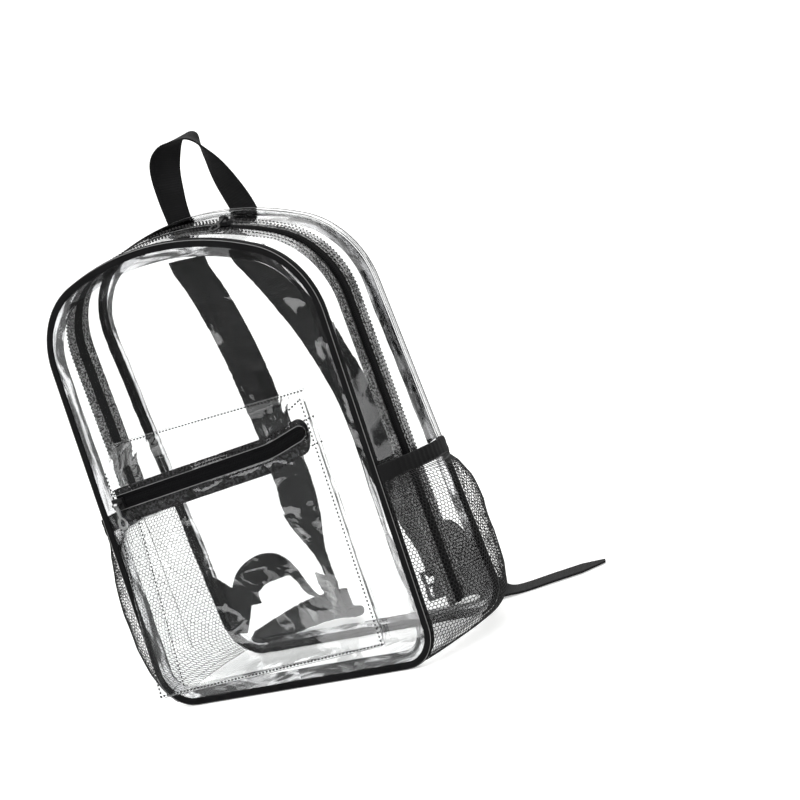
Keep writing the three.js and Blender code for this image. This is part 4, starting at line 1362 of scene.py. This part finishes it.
def make_finishes():
    f = finishes()
    weave_effect()
    wear_effect()
    ripple_effect()
    vinyl_finish("Clear Vinyl", f.vinyl, 0.35)
    # Painted reflection streaks: grey and dark patches along the seams, standing in for the sheets'
    # reflections of the binding and the room.
    painted_reflection_finish("Smoky Vinyl", f.reflection_streak_tint, 0.8, 0.16, 1.3)
    painted_reflection_finish("Smoky Edge", f.reflection_streak_tint, 0.4, 0.06, 0.7)
    woven_finish("Edge Binding", f.binding, 0.0011, 0.0008, 0.7, gloss=0.08)
    woven_finish("Woven Webbing", f.webbing, 0.0016, 0.0011, 0.82)
    woven_finish("Elastic Hem", f.webbing, 0.0018, 0.0012, 0.75)
    woven_finish("Zip Tape", f.tape, 0.0011, 0.0009, 0.8, gloss=0.03)
    # Light flecks on tape under the sheets: partly speckle, partly painted sheen.
    speckle_and_sheen_finish("Speckled Tape", (0.012, 0.012, 0.012), (0.33, 0.33, 0.33), 850)
    speckle_and_sheen_finish("Mottled Tape", (0.01, 0.01, 0.01), (0.05, 0.05, 0.052), 420)
    solid_finish("Zip Coil", f.tape, 0.6, gloss=0.05)
    # Light grey for the painted highlight lines.
    solid_finish("Vinyl Lip", (0.14, 0.14, 0.14), 0.3, grain=120)
    solid_finish("Net Strands", f.net, 0.7, grain=700)
    solid_finish("Sewing Thread", f.thread, 0.6, grain=1500)
    solid_finish("Moulded Plastic", f.plastic, 0.38)
    solid_finish("Brushed Metal", f.metal, 0.28, metallic=1.0, grain=1200)
    mirror_cards(solid_finish("Floor Paper", f.floor, 0.9, grain=3))


# Stage

def after_gloss(graph, rays):
    """1 for light that was mirrored on its way, and 0 for what is seen straight or through a sheet."""
    return graph.sum("GREATER_THAN", rays.outputs["Glossy Depth"], 0.5)


def make_studio_light():
    """White paper behind and under the bag, and a dim room in front of it, which only gloss sees."""
    world = bpy.data.worlds.new("white_studio")
    bpy.context.scene.world = world
    world.use_nodes = True
    graph = Graph(world.node_tree)
    rays = graph.add("ShaderNodeLightPath")
    axes = graph.axes(graph.place("Generated"))
    paper = graph.ramp(axes["Y"], 0.05, 0.5, 0.06, 1.3)
    flag = graph.ramp(axes["X"], 0.5, 0.6, 1.0, 0.05)
    overhead = graph.ramp(axes["Z"], 0.55, 0.8, 0.0, 0.9)
    room = graph.sum("ADD", graph.sum("MULTIPLY", paper, flag), overhead)
    straight = graph.ramp(rays.outputs["Is Diffuse Ray"], 0, 1, 1.35, 0.8)
    chosen = graph.add("ShaderNodeMix", {0: after_gloss(graph, rays), 2: straight, 3: room})
    graph.feed(graph.nodes["Background"], {"Strength": chosen.outputs[0], "Color": (1, 1, 0.995, 1)})


# Bright cards that show in the sheets: near and far end, left and right end of the slanted strip, in metres

CARD_SLANT = (1, -0.7306, 0)
CARDS = [(-1.3, -2.1, 0.22, 0.42), (-0.2, -0.74, 0.115, 0.24)]


def mirror_cards(finish):
    """In reflections the paper looks as dim as the room over it, but for the cards."""
    finish.set(Emission_Color=(1, 1, 0.99, 1), Emission_Strength=0.4)
    rays = finish.add("ShaderNodeLightPath")
    spot = finish.place()
    axes = finish.axes(spot)
    paper = finish.ramp(axes["Y"], -0.25, 0.35, 0.12, 1.25)
    flag = finish.ramp(axes["X"], 0.72, 0.86, 1.0, 0.06)
    lit = finish.sum("MULTIPLY", paper, flag)
    slant = finish.add("ShaderNodeVectorMath", {0: spot, 1: CARD_SLANT}, operation="DOT_PRODUCT")
    for near, far, left, right in CARDS:
        across = finish.strip(slant.outputs["Value"], left, right, 0.006)
        along = finish.strip(axes["Y"], far, near, 0.03, bright=3.0)
        lit = finish.sum("ADD", finish.sum("MULTIPLY", along, across), lit)
    glow = finish.add("ShaderNodeEmission", {"Strength": lit})
    finish.show_where(after_gloss(finish, rays), finish.shader, glow)


def lay_floor():
    bpy.ops.object.select_all(action="DESELECT")
    bpy.ops.mesh.primitive_plane_add(size=400, location=(0, 0, -0.0004))
    floor = bpy.context.object
    floor.name = "floor_paper"
    floor.data.materials.append(bpy.data.materials["Floor Paper"])


def place_camera():
    """Camera turned round the bag, raised, leaned, and slid along its own picture."""
    sizes = bpy.context.scene.backpack_stage
    a, e, r = [math.radians(v) for v in (sizes.azimuth, sizes.elevation, sizes.roll)]
    back = Vector((math.sin(a) * math.cos(e), -math.cos(a) * math.cos(e), math.sin(e)))
    right = Vector((math.cos(a), math.sin(a), 0))
    up = back.cross(right)
    leaned_right = right * math.cos(r) - up * math.sin(r)
    leaned_up = right * math.sin(r) + up * math.cos(r)
    target = Vector((0, 0, sizes.target_z)) + leaned_right * sizes.slide_right + leaned_up * sizes.slide_up
    camera = bpy.data.objects.new("camera", bpy.data.cameras.new("camera"))
    bpy.context.scene.collection.objects.link(camera)
    turn = Matrix((leaned_right, leaned_up, back)).transposed().to_4x4()
    camera.matrix_world = Matrix.Translation(target + back * sizes.distance) @ turn
    camera.data.lens = sizes.lens
    camera.data.sensor_width = 36
    camera.data.clip_end = 60
    bpy.context.scene.camera = camera


# Lamps: name, place, size in metres and power in watts
LAMPS = [
    ("key_light", (1.6, -2.2, 2.6), 2.2, 60),
    ("fill_light", (-2.4, -1.6, 1.8), 2.6, 32),
    ("back_light", (-0.6, 2.8, 2.4), 2.4, 30),
]


def hang_lamps():
    aim = Vector((0, 0, 0.2))
    for name, place, size, power in LAMPS:
        lamp = bpy.data.lights.new(name, "AREA")
        lamp.size = size
        lamp.energy = power
        light = bpy.data.objects.new(name, lamp)
        light.location = place
        light.rotation_euler = (aim - Vector(place)).to_track_quat("-Z", "Y").to_euler()
        bpy.context.scene.collection.objects.link(light)


def make_stage():
    lay_floor()
    place_camera()
    hang_lamps()
    make_studio_light()
    scene = bpy.context.scene
    scene.view_settings.view_transform = "Standard"
    scene.cycles.max_bounces = 40
    scene.cycles.transmission_bounces = 40
    scene.cycles.transparent_max_bounces = 40


# Operators, one for each group of pieces

def operator(name, label, note, work):
    """Operator class that runs one maker."""
    def execute(self, context):
        work()
        return {"FINISHED"}

    return type(f"BACKPACK_OT_{name}", (bpy.types.Operator,), {
        "__doc__": note, "bl_idname": f"backpack.{name}", "bl_label": label, "execute": execute,
    })


STEPS = [
    ("finishes", "Finishes", "Build every material", make_finishes),
    ("stage", "Stage", "Floor, camera and soft light", make_stage),
    ("panels", "Panels", "Clear front and back panels", make_panels),
    ("gussets", "Gussets", "Clear side, top and base sheets", make_gussets),
    ("flanges", "Flanges", "Seam allowances inside the binding", make_flanges),
    ("bindings", "Bindings", "Black edge binding round both panels", make_bindings),
    ("main_zip", "Main zip", "Tape, coil and seams over the top", make_main_zip),
    ("pocket", "Front pocket", "Clear front pocket", make_pocket),
    ("pocket_zip", "Pocket zip", "Tape, coil and seams of the pocket", make_pocket_zip),
    ("nets", "Net pockets", "Side pockets of net with elastic hems", make_nets),
    ("handle", "Handle", "Grab handle of webbing", make_handle),
    ("buckles", "Ladder locks", "Strap adjusters", make_buckles),
    ("shoulder_straps", "Shoulder straps", "Both shoulder straps", make_shoulder_straps),
    ("anchor_tabs", "Anchor tabs", "Cloth tabs at the rear seam", make_anchor_tabs),
    ("lower_webbing", "Lower webbing", "Adjusting webbing with its free ends", make_lower_webbing),
    ("hardware", "Sliders and pulls", "Zip sliders and their pulls", make_hardware),
]
OPERATORS = [operator(*step) for step in STEPS]


class BACKPACK_PT_panel(bpy.types.Panel):
    """Lists the makers and the sizes"""
    bl_idname = "BACKPACK_PT_panel"
    bl_label = "Clear Backpack"
    bl_space_type = "VIEW_3D"
    bl_region_type = "UI"
    bl_category = "Backpack"

    def draw(self, context):
        for made in OPERATORS:
            self.layout.operator(made.bl_idname)
        for group in GROUPS:
            for key in group[1].__annotations__:
                self.layout.prop(getattr(context.scene, group[0]), key)


GROUPS = [
    ("backpack_bag", BagSizes), ("backpack_pocket", PocketSizes), ("backpack_straps", StrapSizes),
    ("backpack_finishes", Finishes), ("backpack_stage", StageSizes),
]


def register():
    for name, group in GROUPS:
        bpy.utils.register_class(group)
        setattr(bpy.types.Scene, name, PointerProperty(type=group))
    for made in [*OPERATORS, BACKPACK_PT_panel]:
        bpy.utils.register_class(made)


def unregister():
    for made in [BACKPACK_PT_panel, *reversed(OPERATORS)]:
        bpy.utils.unregister_class(made)
    for name, group in reversed(GROUPS):
        delattr(bpy.types.Scene, name)
        bpy.utils.unregister_class(group)


def main():
    register()
    for made in OPERATORS:
        group, name = made.bl_idname.split(".")
        getattr(getattr(bpy.ops, group), name)()


if __name__ == "__main__":
    main()
